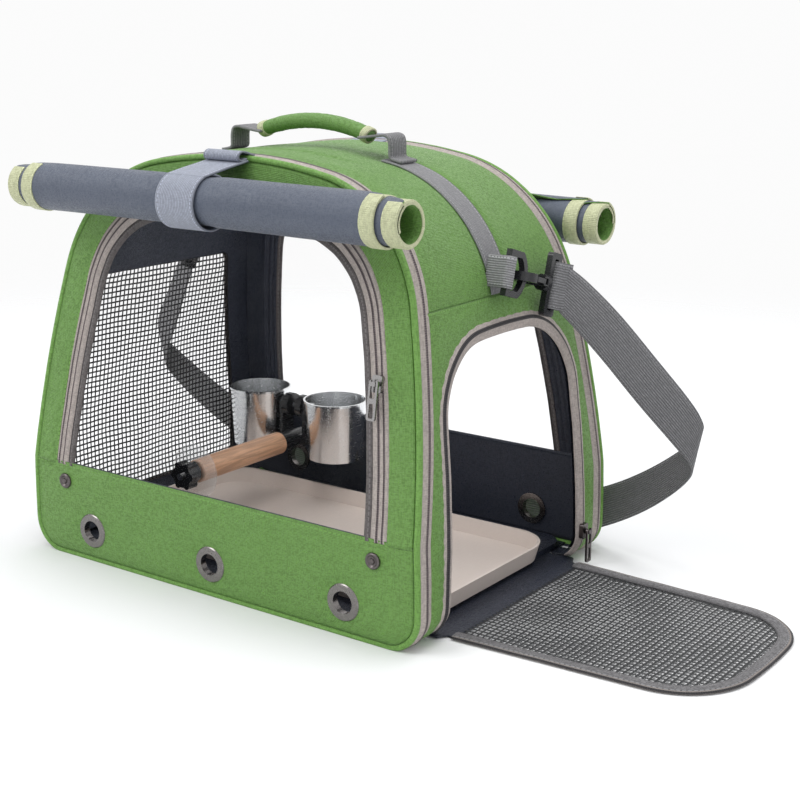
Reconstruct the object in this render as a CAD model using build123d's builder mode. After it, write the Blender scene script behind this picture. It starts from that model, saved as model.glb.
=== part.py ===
"""Soft-sided bird travel carrier, millimetres, +Z up, origin at the centre of the base.

The end with the door is +X, the front window faces -Y. Every panel of the sewn shell is a layer of one
arch (the outline in XZ) cut by two leaning faces (the section in YZ), so a change of the arch or of the
lean carries all seams, tapes, windows and linings with it.
"""

import os
from math import atan, cos, degrees, hypot, radians, sin, tan

from build123d import *

# ---- the shell's arch, seen from the front ---------------------------------------------------------
base_half = 203.0          # half width of the arch at its base
shoulder_half = 161.5      # half width where the side and top curves would meet
shoulder_z = 319.4
crown_z = 349.0            # top of the shell
side_bulge = 13.1          # how far the sides belly out
shoulder_r = 118.0
base_r = 28.0

# ---- the leaning faces, seen from the end ----------------------------------------------------------
body_d = 280.0             # front to back at the base
band_h = 83.0              # height of the upright lower band
face_lean = 9.1            # degrees that each face leans in above the band

# ---- layers ----------------------------------------------------------------------------------------
wall = 2.0                 # fabric and foam of a panel
layer_gap = 0.2            # air between stacked layers of one body
lining_t = 0.8
piping_w = 5.0
piping_proud = 1.5         # how far the piping stands out of arch and face
edge_tape_w = 13.0         # covered zipper between piping and end panels
seam_z = 247.0             # seam between the top panel and the end panels

# ---- windows in the faces --------------------------------------------------------------------------
frame_w = 27.0             # arch to window zipper
window_tape_w = 14.0
window_binding_w = 6.0
film_t = 0.5

# ---- doorway, door and left window -----------------------------------------------------------------
doorway_half = 108.0        # half width at the foot
doorway_taper = 10.0       # how much narrower each side is at the top
doorway_top = 228.0
doorway_bottom = 6.0
doorway_r = 70.0
doorway_tape_w = 10.0
door_clear = 1.0           # door edge to doorway tape
door_foot = 5.0            # how much of the doorway's outline the door lacks at its foot
door_t = 3.0
door_binding_w = 9.0
mesh_t = 0.8
left_sill_z = 20.0
left_border = 6.0          # panel left between the left net's opening and the zipper or seam
left_corner_r = 14.0
left_binding_w = 6.0

# ---- eyelets and snaps on the bands ----------------------------------------------------------------
eyelet_od = 30.0
eyelet_hole = 18.0
eyelet_z = 27.0
eyelet_pitch = 135.0
eyelet_lip = 1.4
snap_d = 13.0
snap_x = 164.0
snap_z = 67.0
snap_t = 3.0

# ---- rolled shades ---------------------------------------------------------------------------------
shade_d = 40.0
shade_core_d = 14.0
shade_len = 390.0
shade_binding_w = 20.0
shade_y = 141.0            # roll axis out from the middle
front_shade_z = 318.5
back_shade_z = 292.0
shade_strap_w = 38.0
shade_strap_t = 1.6
shade_strap_x = -6.0

# ---- handle ----------------------------------------------------------------------------------------
grip_half = 57.0
grip_d = 16.0
grip_end_z = 361.0
grip_crown = 10.0
grip_binding_w = 9.0
loop_w = 22.0
loop_t = 2.4
loop_foot_x = 82.0
loop_top_z = 364.0
webbing_w = 25.0
webbing_t = 1.6

# ---- ring, snap hook and shoulder strap ------------------------------------------------------------
ring_wire = 5.0
ring_in = 26.0             # inside width of the ring, across
ring_reach = 18.0
ring_slack = 0.8           # between ring and hook
ring_out = 18.0            # ring's middle plane from the end panel
ring_y = -8.0
ring_z = 266.0
hook_drop = 16.0           # degrees that hook and ring hang below level
hook_open = 29.0
hook_w = 22.0
hook_t = 7.0
hook_wire = 6.0
hub_len = 5.0
hook_hub_r = 6.5
stem_r = 2.6
gate_len = 16.4
gate_t = 4.0
gate_pin_r = 0.9
gate_gap = 0.4
swivel_slot = 6.0
strap_w = 38.0
strap_t = 1.8
strap_low = 2.2            # lower edge of the strap where it stands behind the carrier
strap_back_y = 164.0
strap_apex = (326.0, 118.0, 122.0)
strap_turn_r = 16.0
strap_run_x = 150.0
adjuster_len = 46.0
adjuster_wall = 1.7

# ---- tray ------------------------------------------------------------------------------------------
tray_gap = 20.0            # tray's end to the foot of the arch
tray_w = 190.0
tray_h = 15.0
tray_r = 34.0
tray_t = 2.4
tray_draft = 4.0           # how much each side leans out

# ---- perch and cups --------------------------------------------------------------------------------
perch_x = -104.0
perch_z = 62.0
perch_d = 21.0
perch_near_y = -44.0
perch_len = 114.0
rod_d = 6.0
rod_fit = 0.05
star_d = 26.0
star_t = 16.0
washer_d = 50.0
washer_t = 2.0
cup_d = 60.0
cup_h = 56.0
cup_t = 0.8
cup_rim_z = 106.0
cup_out = 46.0             # cup axis to perch axis
cup_y = 98.0
cup_knob_d = 22.0
cup_knob_t = 7.0
arm_w = 16.0
arm_t = 4.0

clear = 0.3                # soft and curved faces on different bodies

os.makedirs("parts", exist_ok=True)

# ---- worked out from the values above --------------------------------------------------------------
lean = radians(face_lean)
face_y = body_d / 2
piping_in = piping_w - piping_proud
tape_end = piping_in + edge_tape_w
lining_out = wall + layer_gap
lining_in = lining_out + lining_t
window_in = frame_w + window_tape_w + window_binding_w
base_flat = base_half - base_r - 5
floor_z = wall + layer_gap
tray_half = base_half - tray_gap
floor_t = 4.0
tray_z = floor_z + floor_t + clear
far = 2 * (body_d + base_half)


def circle_through(half_chord_mid, direction, half_chord, bulge):
    """Centre and radius of the arc on a chord, from the chord's middle and outward normal."""
    radius = (half_chord**2 + bulge**2) / (2 * bulge)
    return tuple(m + d * (bulge - radius) for m, d in zip(half_chord_mid, direction)), radius


side_chord = hypot(base_half - shoulder_half, shoulder_z)
side_mid = ((base_half + shoulder_half) / 2, shoulder_z / 2)
side_normal = (shoulder_z / side_chord, (base_half - shoulder_half) / side_chord)
side_centre, side_radius = circle_through(side_mid, side_normal, side_chord / 2, side_bulge)
top_centre, top_radius = circle_through((0, shoulder_z), (0, 1), shoulder_half, crown_z - shoulder_z)


def shoulder_point(side_r, top_r):
    """Where the side circle and the top circle meet, for the two given radii."""
    dx, dz = top_centre[0] - side_centre[0], top_centre[1] - side_centre[1]
    span = hypot(dx, dz)
    along = (span**2 + side_r**2 - top_r**2) / (2 * span)
    across = (side_r**2 - along**2) ** 0.5
    return tuple(c + step for c, step in zip(
        side_centre, ((along * dx - across * dz) / span, (along * dz + across * dx) / span)))


def arch(inset=0.0, floor=None):
    """Outline of the shell in XZ, drawn in by inset, and kept above floor where that is given."""
    side_r, top_r = side_radius - inset, top_radius - inset
    shoulder = shoulder_point(side_r, top_r)
    foot = (side_centre[0] + (side_r**2 - (inset - side_centre[1]) ** 2) ** 0.5, inset)
    bow = (side_centre[0] + side_r * side_normal[0], side_centre[1] + side_r * side_normal[1])
    with BuildSketch(Plane.XZ) as outline:
        with BuildLine():
            Line((-foot[0], inset), foot)
            ThreePointArc(foot, bow, shoulder)
            ThreePointArc(shoulder, (0, crown_z - inset), (-shoulder[0], shoulder[1]))
            ThreePointArc((-shoulder[0], shoulder[1]), (-bow[0], bow[1]), (-foot[0], inset))
        make_face()
        fillet(outline.vertices().group_by(Axis.Y)[-1], radius=shoulder_r - inset)
        if inset < base_r:
            fillet(outline.vertices().group_by(Axis.Y)[0], radius=base_r - inset)
        if floor is not None:
            with Locations((0, floor + far / 2)):
                Rectangle(far, far, mode=Mode.INTERSECT)
    return outline.sketch


def face_line(depth, drop=10.0):
    """Section line of a face at a depth behind its outer surface: foot, bend and head, as (out, up)."""
    bend = (face_y - depth, band_h - depth * tan(lean / 2))
    head = (bend[0] - crown_z * sin(lean), bend[1] + crown_z * cos(lean))
    return [(bend[0], -drop), bend, head]


def face_layer(near, deep, side=-1):
    """Layer between two depths behind the front (-1) or back (1) face, across the whole width."""
    line = face_line(near) + face_line(deep)[::-1]
    with BuildPart() as layer:
        with BuildSketch(Plane.YZ):
            with BuildLine():
                Polyline([(side * out, up) for out, up in line], close=True)
            make_face()
        extrude(amount=far, both=True)
    return layer.part


def between_faces(depth):
    """Everything between the two faces, each drawn in by depth."""
    line = face_line(depth)
    with BuildPart() as block:
        with BuildSketch(Plane.YZ):
            with BuildLine():
                Polyline(line + [(-out, up) for out, up in line[::-1]], close=True)
            make_face()
        extrude(amount=far, both=True)
    return block.part


def face_piece(outer, inner, near, deep, floor=None):
    """Front-face piece: the arch at inset outer less the arch at inset inner, between two depths."""
    with BuildPart() as piece:
        extrude(arch(outer, floor), amount=far / 2, both=True)
        if inner is not None:
            extrude(arch(inner, floor), amount=far / 2, both=True, mode=Mode.SUBTRACT)
        add(face_layer(near, deep), mode=Mode.INTERSECT)
    return piece.part


def end_ring(outer, inner, depth):
    """Tube of the shell between two insets, running from face to face less depth at each end."""
    with BuildPart() as ring:
        extrude(arch(outer), amount=far / 2, both=True)
        extrude(arch(inner), amount=far / 2, both=True, mode=Mode.SUBTRACT)
        add(between_faces(depth), mode=Mode.INTERSECT)
    return ring.part


def box(x, y, z):
    """Block given by its low and high values along each axis."""
    with BuildPart() as block:
        with Locations(((x[0] + x[1]) / 2, (y[0] + y[1]) / 2, (z[0] + z[1]) / 2)):
            Box(x[1] - x[0], y[1] - y[0], z[1] - z[0])
    return block.part


def leaf(plane, inset, foot):
    """Doorway outline on a plane, its foot line at the plane's height foot, drawn in by inset."""
    half, top = doorway_half - inset, doorway_top - inset
    brow = half - doorway_taper
    with BuildSketch(plane) as outline:
        with BuildLine():
            Polyline((-brow, top - 7), (-half, foot), (half, foot), (brow, top - 7))
            ThreePointArc((brow, top - 7), (0, top), (-brow, top - 7))
        make_face()
        fillet(outline.vertices().group_by(Axis.Y)[-1], radius=doorway_r - inset)
    return outline.sketch


def left_opening(inset):
    """Outline of the left net's opening, drawn in by inset. Its sides follow the lean of the faces."""
    reach = face_y - tape_end - left_border - inset
    low, high = left_sill_z + inset, seam_z - left_border - inset
    brow = reach - (high - band_h) * tan(lean)
    with BuildSketch(Plane.YZ) as outline:
        with BuildLine():
            Polyline(
                [(-reach, low), (reach, low), (reach, band_h), (brow, high), (-brow, high), (-reach, band_h)],
                close=True,
            )
        make_face()
        for level in (0, -1):
            fillet(outline.vertices().group_by(Axis.Y)[level], radius=left_corner_r - inset)
    return outline.sketch


def save(piece, name):
    """Label a finished piece and write its STEP file."""
    piece.part.label = name
    export_step(piece.part, f"parts/{name}.step")


def save_pair(front, name):
    """Write a front piece and its mirror image at the back."""
    save(front, "front_" + name)
    with BuildPart() as back:
        mirror(front.part, about=Plane.XZ)
    save(back, "back_" + name)


def save_ends(right, name):
    """Write a right piece and its mirror image at the left."""
    save(right, "right_" + name)
    with BuildPart() as left:
        mirror(right.part, about=Plane.YZ)
    save(left, "left_" + name)


def save_both(piece, name, plane):
    """Write a piece and its mirror image about a plane as one group of solids."""
    with BuildPart() as both:
        add(piece.part)
        mirror(piece.part, about=plane)
    save(both, name)


# ---- shell: base, ends and top ---------------------------------------------------------------------
above_seam = box((-far, far), (-far, far), (seam_z, far))
base_zone = box((-base_flat, base_flat), (-far, far), (-1, wall + 1))

with BuildPart() as bottom_panel:
    add(end_ring(0, wall, piping_in))
    add(base_zone, mode=Mode.INTERSECT)
save(bottom_panel, "bottom_panel")

with BuildPart() as floor_board:
    with BuildSketch(Plane.XY.offset(floor_z)):
        RectangleRounded(2 * base_flat, body_d - 2 * lining_in - 1, 20)
    extrude(amount=floor_t)
save(floor_board, "floor_board")

with BuildPart() as top_panel:
    add(end_ring(0, wall, tape_end))
    add(above_seam, mode=Mode.INTERSECT)
save(top_panel, "top_panel")

with BuildPart() as end_panel:
    add(end_ring(0, wall, tape_end))
    add(above_seam, mode=Mode.SUBTRACT)
    add(box((base_flat, far), (-far, far), (-1, far)), mode=Mode.INTERSECT)

with BuildPart() as right_end_panel:
    add(end_panel.part)
    extrude(leaf(Plane.YZ, 0, doorway_bottom), amount=far, mode=Mode.SUBTRACT)
save(right_end_panel, "right_end_panel")

with BuildPart() as left_end_panel:
    mirror(end_panel.part, about=Plane.YZ)
    extrude(left_opening(0), amount=-far, mode=Mode.SUBTRACT)
save(left_end_panel, "left_end_panel")

with BuildPart() as inner_lining:
    add(end_ring(lining_out, lining_in, piping_in + 0.1))
    add(box((-far, far), (-far, far), (-1, floor_z + floor_t + layer_gap)), mode=Mode.SUBTRACT)
    extrude(leaf(Plane.YZ, doorway_tape_w, 0), amount=far, mode=Mode.SUBTRACT)
    extrude(left_opening(left_binding_w), amount=-far, mode=Mode.SUBTRACT)
save(inner_lining, "inner_lining")

# ---- doorway tape, left window ---------------------------------------------------------------------
with BuildPart() as doorway_tape:
    add(end_ring(0.2, wall - 0.2, tape_end))
    extrude(leaf(Plane.YZ, 0.1, doorway_bottom), amount=far, mode=Mode.INTERSECT)
    extrude(leaf(Plane.YZ, doorway_tape_w, 0), amount=far, mode=Mode.SUBTRACT)
save(doorway_tape, "doorway_tape")

with BuildPart() as left_window_binding:
    add(end_ring(0.2, wall - 0.2, tape_end))
    extrude(left_opening(0.1), amount=-far, mode=Mode.INTERSECT)
    extrude(left_opening(left_binding_w), amount=-far, mode=Mode.SUBTRACT)
save(left_window_binding, "left_window_binding")

with BuildPart() as left_window_mesh:
    add(end_ring(wall / 2 - mesh_t / 2, wall / 2 + mesh_t / 2, tape_end))
    extrude(left_opening(left_binding_w + 0.1), amount=-far, mode=Mode.INTERSECT)
save(left_window_mesh, "left_window_mesh")

# ---- faces: panels, tapes, films -------------------------------------------------------------------
eyelet_x = (-eyelet_pitch, 0, eyelet_pitch)
barrel_d = eyelet_od - 8


def band_holes():
    """Circles for the eyelet barrels and snap posts through a band."""
    with BuildSketch(Plane.XZ) as holes:
        with Locations(*[(x, eyelet_z) for x in eyelet_x]):
            Circle(barrel_d / 2 + 0.1)
        with Locations((-snap_x, snap_z), (snap_x, snap_z)):
            Circle(snap_d / 6 + 0.1)
    return holes.sketch


with BuildPart() as front_panel:
    add(face_piece(piping_in + 0.1, None, 0, wall))
    extrude(arch(frame_w, band_h), amount=far / 2, both=True, mode=Mode.SUBTRACT)
    extrude(band_holes(), amount=far / 2, both=True, mode=Mode.SUBTRACT)
save(front_panel, "front_panel")

with BuildPart() as back_panel:
    mirror(front_panel.part, about=Plane.XZ)
    with BuildSketch(Plane.XZ):
        with Locations((perch_x, perch_z)):
            Circle(rod_d / 2 + 0.3)
    extrude(amount=-far / 2, mode=Mode.SUBTRACT)
save(back_panel, "back_panel")

with BuildPart() as front_band_lining:
    add(face_piece(piping_in + 0.1, None, lining_out, lining_in))
    add(box((-far, far), (-far, far), (band_h - 2, far)), mode=Mode.SUBTRACT)
    add(box((-far, far), (-far, far), (-1, floor_z + floor_t + layer_gap)), mode=Mode.SUBTRACT)
    extrude(band_holes(), amount=far / 2, both=True, mode=Mode.SUBTRACT)
save(front_band_lining, "front_band_lining")

with BuildPart() as back_band_lining:
    mirror(front_band_lining.part, about=Plane.XZ)
    with BuildSketch(Plane.XZ):
        with Locations((perch_x, perch_z)):
            Circle(rod_d / 2 + 0.3)
    extrude(amount=-far / 2, mode=Mode.SUBTRACT)
save(back_band_lining, "back_band_lining")

with BuildPart() as piping:
    add(face_piece(-piping_proud, piping_in, -piping_proud, piping_in))
    add(box((-far, far), (-far, far), (-far, 0)), mode=Mode.SUBTRACT)
save_pair(piping, "piping")

with BuildPart() as edge_tape:
    add(face_piece(0, wall, piping_in, tape_end))
    add(base_zone, mode=Mode.SUBTRACT)
save_both(edge_tape, "edge_zipper_tapes", Plane.XZ)

with BuildPart() as window_tape:
    add(face_piece(frame_w + 0.1, frame_w + window_tape_w, 0.2, wall - 0.2, band_h + 0.1))
save_both(window_tape, "window_zipper_tapes", Plane.XZ)

with BuildPart() as window_binding:
    add(face_piece(frame_w + window_tape_w + 0.1, window_in, 0, wall, band_h + 0.1))
save_pair(window_binding, "window_binding")

with BuildPart() as film:
    add(face_piece(window_in + 0.1, None, (wall - film_t) / 2, (wall + film_t) / 2, band_h + 0.1))
save_pair(film, "window_film")

# ---- eyelets and snap studs ------------------------------------------------------------------------
outer_face = Plane.XZ.offset(face_y)

with BuildPart() as eyelets:
    with BuildSketch(outer_face):
        with Locations(*[(x, eyelet_z) for x in eyelet_x]):
            Circle(eyelet_od / 2)
    extrude(amount=eyelet_lip)
    with BuildSketch(outer_face):
        with Locations(*[(x, eyelet_z) for x in eyelet_x]):
            Circle(barrel_d / 2)
    extrude(amount=-lining_in - eyelet_lip)
    with BuildSketch(outer_face.offset(-lining_in)):
        with Locations(*[(x, eyelet_z) for x in eyelet_x]):
            Circle(eyelet_od / 2 - 1)
    extrude(amount=-eyelet_lip)
    chamfer(eyelets.faces().sort_by(Axis.Y)[:3].edges().filter_by(
        lambda edge: edge.radius > barrel_d / 2), length=0.8)
    with BuildSketch(outer_face.offset(far / 4)):
        with Locations(*[(x, eyelet_z) for x in eyelet_x]):
            Circle(eyelet_hole / 2)
    extrude(amount=-far / 2, mode=Mode.SUBTRACT)
save_both(eyelets, "eyelets", Plane.XZ)

with BuildPart() as snaps:
    with BuildSketch(outer_face):
        with Locations((-snap_x, snap_z), (snap_x, snap_z)):
            Circle(snap_d / 2)
    extrude(amount=snap_t)
    fillet(snaps.faces().sort_by(Axis.Y)[:2].edges(), radius=snap_t / 3)
    with BuildSketch(outer_face):
        with Locations((-snap_x, snap_z), (snap_x, snap_z)):
            Circle(snap_d / 6)
    extrude(amount=-lining_in)
    with BuildSketch(outer_face.offset(-lining_in)):
        with Locations((-snap_x, snap_z), (snap_x, snap_z)):
            Circle(snap_d / 2.4)
    extrude(amount=-1)
save_both(snaps, "snap_studs", Plane.XZ)

# ---- door, lying open on the ground ----------------------------------------------------------------
hinge_x = side_centre[0] + side_radius + clear + door_t / 2
hinge_z = clear + door_t / 2
door_edge = doorway_tape_w + door_clear
door_plane = Plane(origin=(hinge_x - door_foot, 0, clear), x_dir=(0, 1, 0), z_dir=(0, 0, -1))
mesh_plane = door_plane.offset(-(door_t - mesh_t) / 2)

with BuildPart() as door_binding:
    extrude(leaf(door_plane, door_edge, door_foot), amount=-door_t)
    opening = leaf(door_plane, door_edge + door_binding_w, door_foot + door_binding_w)
    extrude(opening, amount=-door_t, mode=Mode.SUBTRACT)
    with BuildSketch(Plane.XZ.offset(doorway_half - door_edge)):
        with Locations((hinge_x, hinge_z)):
            Circle(door_t / 2)
    extrude(amount=-2 * (doorway_half - door_edge))
save(door_binding, "door_binding")

with BuildPart() as door_mesh:
    mesh_edge = door_binding_w + layer_gap / 2
    extrude(leaf(mesh_plane, door_edge + mesh_edge, door_foot + mesh_edge), amount=-mesh_t)
save(door_mesh, "door_mesh")

with BuildPart() as hinge_strip:
    with BuildSketch(Plane.XZ):
        with Locations(((hinge_x - door_t / 2 - clear + base_half - 0.75 * base_r) / 2, hinge_z)):
            Rectangle(hinge_x - door_t / 2 - clear - base_half + 0.75 * base_r, 2 * hinge_z)
        add(arch(-0.1), mode=Mode.SUBTRACT)
    extrude(amount=doorway_half - door_edge, both=True)
save(hinge_strip, "door_hinge_strip")

# ---- zipper sliders and pullers --------------------------------------------------------------------
slider_w, slider_len, slider_t = 9.0, 13.0, 4.0
puller_w, puller_len, puller_t = 8.0, 30.0, 1.8
puller_eye = 3.0           # puller's end beyond its pin
bail_len = 3.2
puller_pin = 0.9
window_slider_z = 196.0
window_zip_inset = frame_w + window_tape_w / 2


def arch_half(inset, z):
    """Half width of the arch's side curve at a height."""
    return side_centre[0] + ((side_radius - inset) ** 2 - (z - side_centre[1]) ** 2) ** 0.5


pin_up = slider_t + puller_eye + layer_gap


def slider_pair(plane):
    """Slider and hanging puller on a plane whose z is outward and whose y is up the zipper."""
    with BuildPart() as slider:
        with BuildSketch(plane):
            RectangleRounded(slider_w, slider_len, 2)
        extrude(amount=slider_t)
        with BuildSketch(plane.offset(slider_t)):
            Rectangle(slider_w / 2.4, bail_len)
        extrude(amount=pin_up - slider_t + 1.5)
        with BuildSketch(Plane(plane.origin, x_dir=plane.y_dir, z_dir=plane.x_dir)):
            with Locations((0, pin_up)):
                Circle(puller_pin + 0.1)
        extrude(amount=slider_w, both=True, mode=Mode.SUBTRACT)
    with BuildPart() as puller:
        with BuildSketch(plane.offset(pin_up - puller_t / 2)):
            with Locations((0, puller_eye - puller_len / 2)):
                RectangleRounded(puller_w, puller_len, 2)
            with Locations((0, puller_eye - slider_len / 2)):
                Rectangle(slider_w / 2.4 + 0.8, slider_len + 1, mode=Mode.SUBTRACT)
            with Locations((0, -puller_len * 0.66)):
                RectangleRounded(puller_w - 4, puller_len * 0.36, 1, mode=Mode.SUBTRACT)
        extrude(amount=puller_t)
        with BuildSketch(Plane(plane.origin, x_dir=plane.y_dir, z_dir=plane.x_dir)):
            with Locations((0, pin_up)):
                Circle(puller_pin)
        extrude(amount=puller_w / 2 - 0.5, both=True)
    return slider, puller


window_slider_run = window_slider_z - band_h
window_slider_at = (
    arch_half(window_zip_inset, window_slider_z),
    -face_y + window_slider_run * tan(lean) - clear / cos(lean),
    window_slider_z,
)
window_slider, window_puller = slider_pair(
    Plane(window_slider_at, x_dir=(1, 0, 0), z_dir=(0, -cos(lean), sin(lean)))
)
save(window_slider, "front_zipper_slider")
save(window_puller, "front_zipper_puller")

door_slider_z = 30.0
door_slider_at = (arch_half(-clear, door_slider_z) + 0.3, doorway_half - doorway_tape_w / 2, door_slider_z)
door_slider, door_puller = slider_pair(Plane(door_slider_at, x_dir=(0, 1, 0), z_dir=(1, 0, 0)))
save(door_slider, "door_zipper_slider")
save(door_puller, "door_zipper_puller")

# ---- rolled shades and their straps ----------------------------------------------------------------
shade_r = shade_d / 2
apron_half = 113.0
stripe_t = 0.8
stripe_gap = 9.0
strap_lift = 0.3


def front_out(z):
    """How far the front face stands from the middle at a height above the band."""
    return face_y - (z - band_h) * tan(lean)


def shade_roll(z):
    """Rolled shade, axis at height z, with its apron up to the panel's seam on both sides of the strap."""
    seam_up = crown_z - frame_w + 5
    strap_half = shade_strap_w / 2 + clear
    with BuildPart() as roll:
        for x, reach in (
            (-apron_half, apron_half + shade_strap_x - strap_half),
            (shade_strap_x + strap_half, apron_half - shade_strap_x - strap_half),
        ):
            with BuildSketch(Plane.YZ.offset(x)):
                with BuildLine():
                    Polyline(
                        (-front_out(seam_up) - clear, seam_up),
                        (-front_out(seam_up - 4) - clear, seam_up - 4),
                        (-shade_y + shade_r * 0.5, z + shade_r * 0.6),
                        (-shade_y + shade_r * 0.3, z + shade_r * 0.95),
                        close=True,
                    )
                make_face()
            extrude(amount=reach)
        with BuildSketch(Plane.YZ):
            with Locations((-shade_y, z)):
                Circle(shade_r)
        extrude(amount=shade_len / 2, both=True)
        with BuildSketch(Plane.YZ):
            with Locations((-shade_y, z)):
                Circle(shade_core_d / 2)
        extrude(amount=shade_len / 2, both=True, mode=Mode.SUBTRACT)
    return roll


def shade_stripes(z):
    """Four binding bands round the ends of a roll."""
    stripe_x = shade_len / 2 - shade_binding_w / 4, shade_len / 2 - shade_binding_w / 2 - stripe_gap - 6
    with BuildPart() as stripes:
        for x, width in zip(stripe_x, (shade_binding_w / 2, shade_binding_w / 1.6)):
            for side in (-1, 1):
                with BuildSketch(Plane.YZ.offset(side * x)):
                    with Locations((-shade_y, z)):
                        Circle(shade_r + 0.1 + stripe_t)
                        Circle(shade_r + 0.1, mode=Mode.SUBTRACT)
                extrude(amount=width / 2, both=True)
    return stripes


def shade_strap(z):
    """Webbing round a roll, with its tail sewn to the top panel."""
    hold = shade_r + strap_lift
    tail_up = crown_z + piping_proud + clear
    tail_y = front_out(crown_z)
    with BuildPart() as strap:
        with BuildSketch(Plane.YZ.offset(shade_strap_x)):
            with Locations((-shade_y, z)):
                Circle(hold + shade_strap_t)
            with BuildLine():
                Polyline(
                    (-shade_y, z + hold + shade_strap_t),
                    (-shade_y, z + hold),
                    (-tail_y - piping_proud, tail_up),
                    (-tail_y + 28, tail_up - piping_proud),
                    (-tail_y + 28, tail_up - piping_proud + shade_strap_t),
                    (-tail_y - piping_proud, tail_up + shade_strap_t),
                    close=True,
                )
            make_face()
            with Locations((-shade_y, z)):
                Circle(hold, mode=Mode.SUBTRACT)
        extrude(amount=shade_strap_w / 2, both=True)
    return strap


save(shade_roll(front_shade_z), "front_rolled_shade")
with BuildPart() as back_roll:
    mirror(shade_roll(back_shade_z).part, about=Plane.XZ)
save(back_roll, "back_rolled_shade")

for name, make in (("shade_bindings", shade_stripes), ("shade_straps", shade_strap)):
    with BuildPart() as both_faces:
        add(make(front_shade_z).part)
        mirror(make(back_shade_z).part, about=Plane.XZ)
    save(both_faces, name)

# ---- handle ----------------------------------------------------------------------------------------
webbing_out = layer_gap + webbing_t
loop_foot_z = top_centre[1] + ((top_radius + webbing_out + layer_gap) ** 2 - loop_foot_x**2) ** 0.5

with BuildPart() as handle_grip:
    with BuildLine() as grip_line:
        grip_top_z = grip_end_z + grip_crown
        ThreePointArc((-grip_half, 0, grip_end_z), (0, 0, grip_top_z), (grip_half, 0, grip_end_z))
    with BuildSketch(Plane(grip_line.line @ 0, z_dir=grip_line.line % 0)):
        Circle(grip_d / 2)
    sweep()
    add(box((-grip_half, grip_half), (-far, far), (0, far)), mode=Mode.INTERSECT)
save(handle_grip, "handle_grip")

with BuildPart() as grip_bindings:
    for end, way in ((0, 1), (1, -1)):
        with BuildSketch(Plane(grip_line.line @ end, z_dir=(grip_line.line % end) * way)):
            Circle(grip_d / 2 + 1.2)
            Circle(grip_d / 2 + 0.4, mode=Mode.SUBTRACT)
        extrude(amount=grip_binding_w)
    add(box((-grip_half, grip_half), (-far, far), (0, far)), mode=Mode.INTERSECT)
save(grip_bindings, "handle_binding")

with BuildPart() as handle_loop:
    with BuildSketch(Plane.XZ):
        with BuildLine():
            FilletPolyline(
                (grip_half + clear, grip_end_z - 1),
                (loop_foot_x - 3, loop_top_z),
                (loop_foot_x, loop_foot_z + loop_t / 2),
                (loop_foot_x + 12, loop_foot_z - 2),
                radius=4,
            )
        trace(line_width=loop_t)
        add(arch(-webbing_out - layer_gap), mode=Mode.SUBTRACT)
    extrude(amount=loop_w / 2, both=True)
save_both(handle_loop, "handle_loops", Plane.YZ)

with BuildPart() as side_webbing:
    add(end_ring(-webbing_out, -layer_gap, 0))
    add(box((loop_foot_x - 10, far), (-webbing_w / 2, webbing_w / 2), (seam_z, far)), mode=Mode.INTERSECT)
save_both(side_webbing, "side_webbing", Plane.YZ)

# ---- ring, snap hook and swivel on each end --------------------------------------------------------
ring_x = arch_half(0, ring_z) + ring_out
wire_r = ring_wire / 2
drop = radians(hook_drop)
along = (0, cos(drop), -sin(drop))
ring_at = (ring_x, ring_y, ring_z)
ring_plane = Plane(ring_at, x_dir=along, z_dir=(1, 0, 0))
hook_plane = Plane(ring_at, x_dir=along, z_dir=(0, -sin(drop), -cos(drop)))
stem_plane = Plane(ring_at, x_dir=(1, 0, 0), z_dir=along)

with BuildPart() as ring:
    with BuildSketch(ring_plane.offset(-wire_r)):
        with BuildLine():
            Polyline(
                (ring_reach - ring_wire, ring_in / 2 + ring_wire),
                (-ring_wire, ring_in / 2 + ring_wire),
                (-ring_wire, -ring_in / 2 - ring_wire),
                (ring_reach - ring_wire, -ring_in / 2 - ring_wire),
            )
            ThreePointArc(
                (ring_reach - ring_wire, -ring_in / 2 - ring_wire),
                (ring_reach + ring_wire, 0),
                (ring_reach - ring_wire, ring_in / 2 + ring_wire),
            )
        make_face()
        offset(amount=-ring_wire, kind=Kind.INTERSECTION, mode=Mode.SUBTRACT)
    extrude(amount=ring_wire)
save_both(ring, "strap_rings", Plane.YZ)

ring_bar_at = ring_plane.from_local_coords((-wire_r, 0, 0))
tab_hole = wire_r * 1.5 + layer_gap
with BuildPart() as ring_tab:
    with BuildSketch(Plane(ring_bar_at, x_dir=(1, 0, 0), z_dir=ring_plane.y_dir)):
        Circle(tab_hole + webbing_t)
        with Locations((-ring_out, 0)):
            Rectangle(2 * ring_out, 2 * webbing_t + 1)
        Circle(tab_hole, mode=Mode.SUBTRACT)
    extrude(amount=ring_in / 2 - 0.5, both=True)
    extrude(arch(-webbing_out - layer_gap), amount=far / 2, both=True, mode=Mode.SUBTRACT)
save_both(ring_tab, "ring_tabs", Plane.YZ)

hook_nose = ring_reach - ring_slack
hook_mid = hook_nose + hook_open / 2
hub_end = hook_nose + hook_open + hook_wire + hub_len
gate_side = hook_w / 2 - hook_wire / 2
gate_w = hook_wire - 1
gate_pin = hook_mid + hook_open / 4
gate_tip = gate_pin - gate_len + gate_w / 2
cheek = gate_pin - gate_w / 2 - gate_gap

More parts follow.
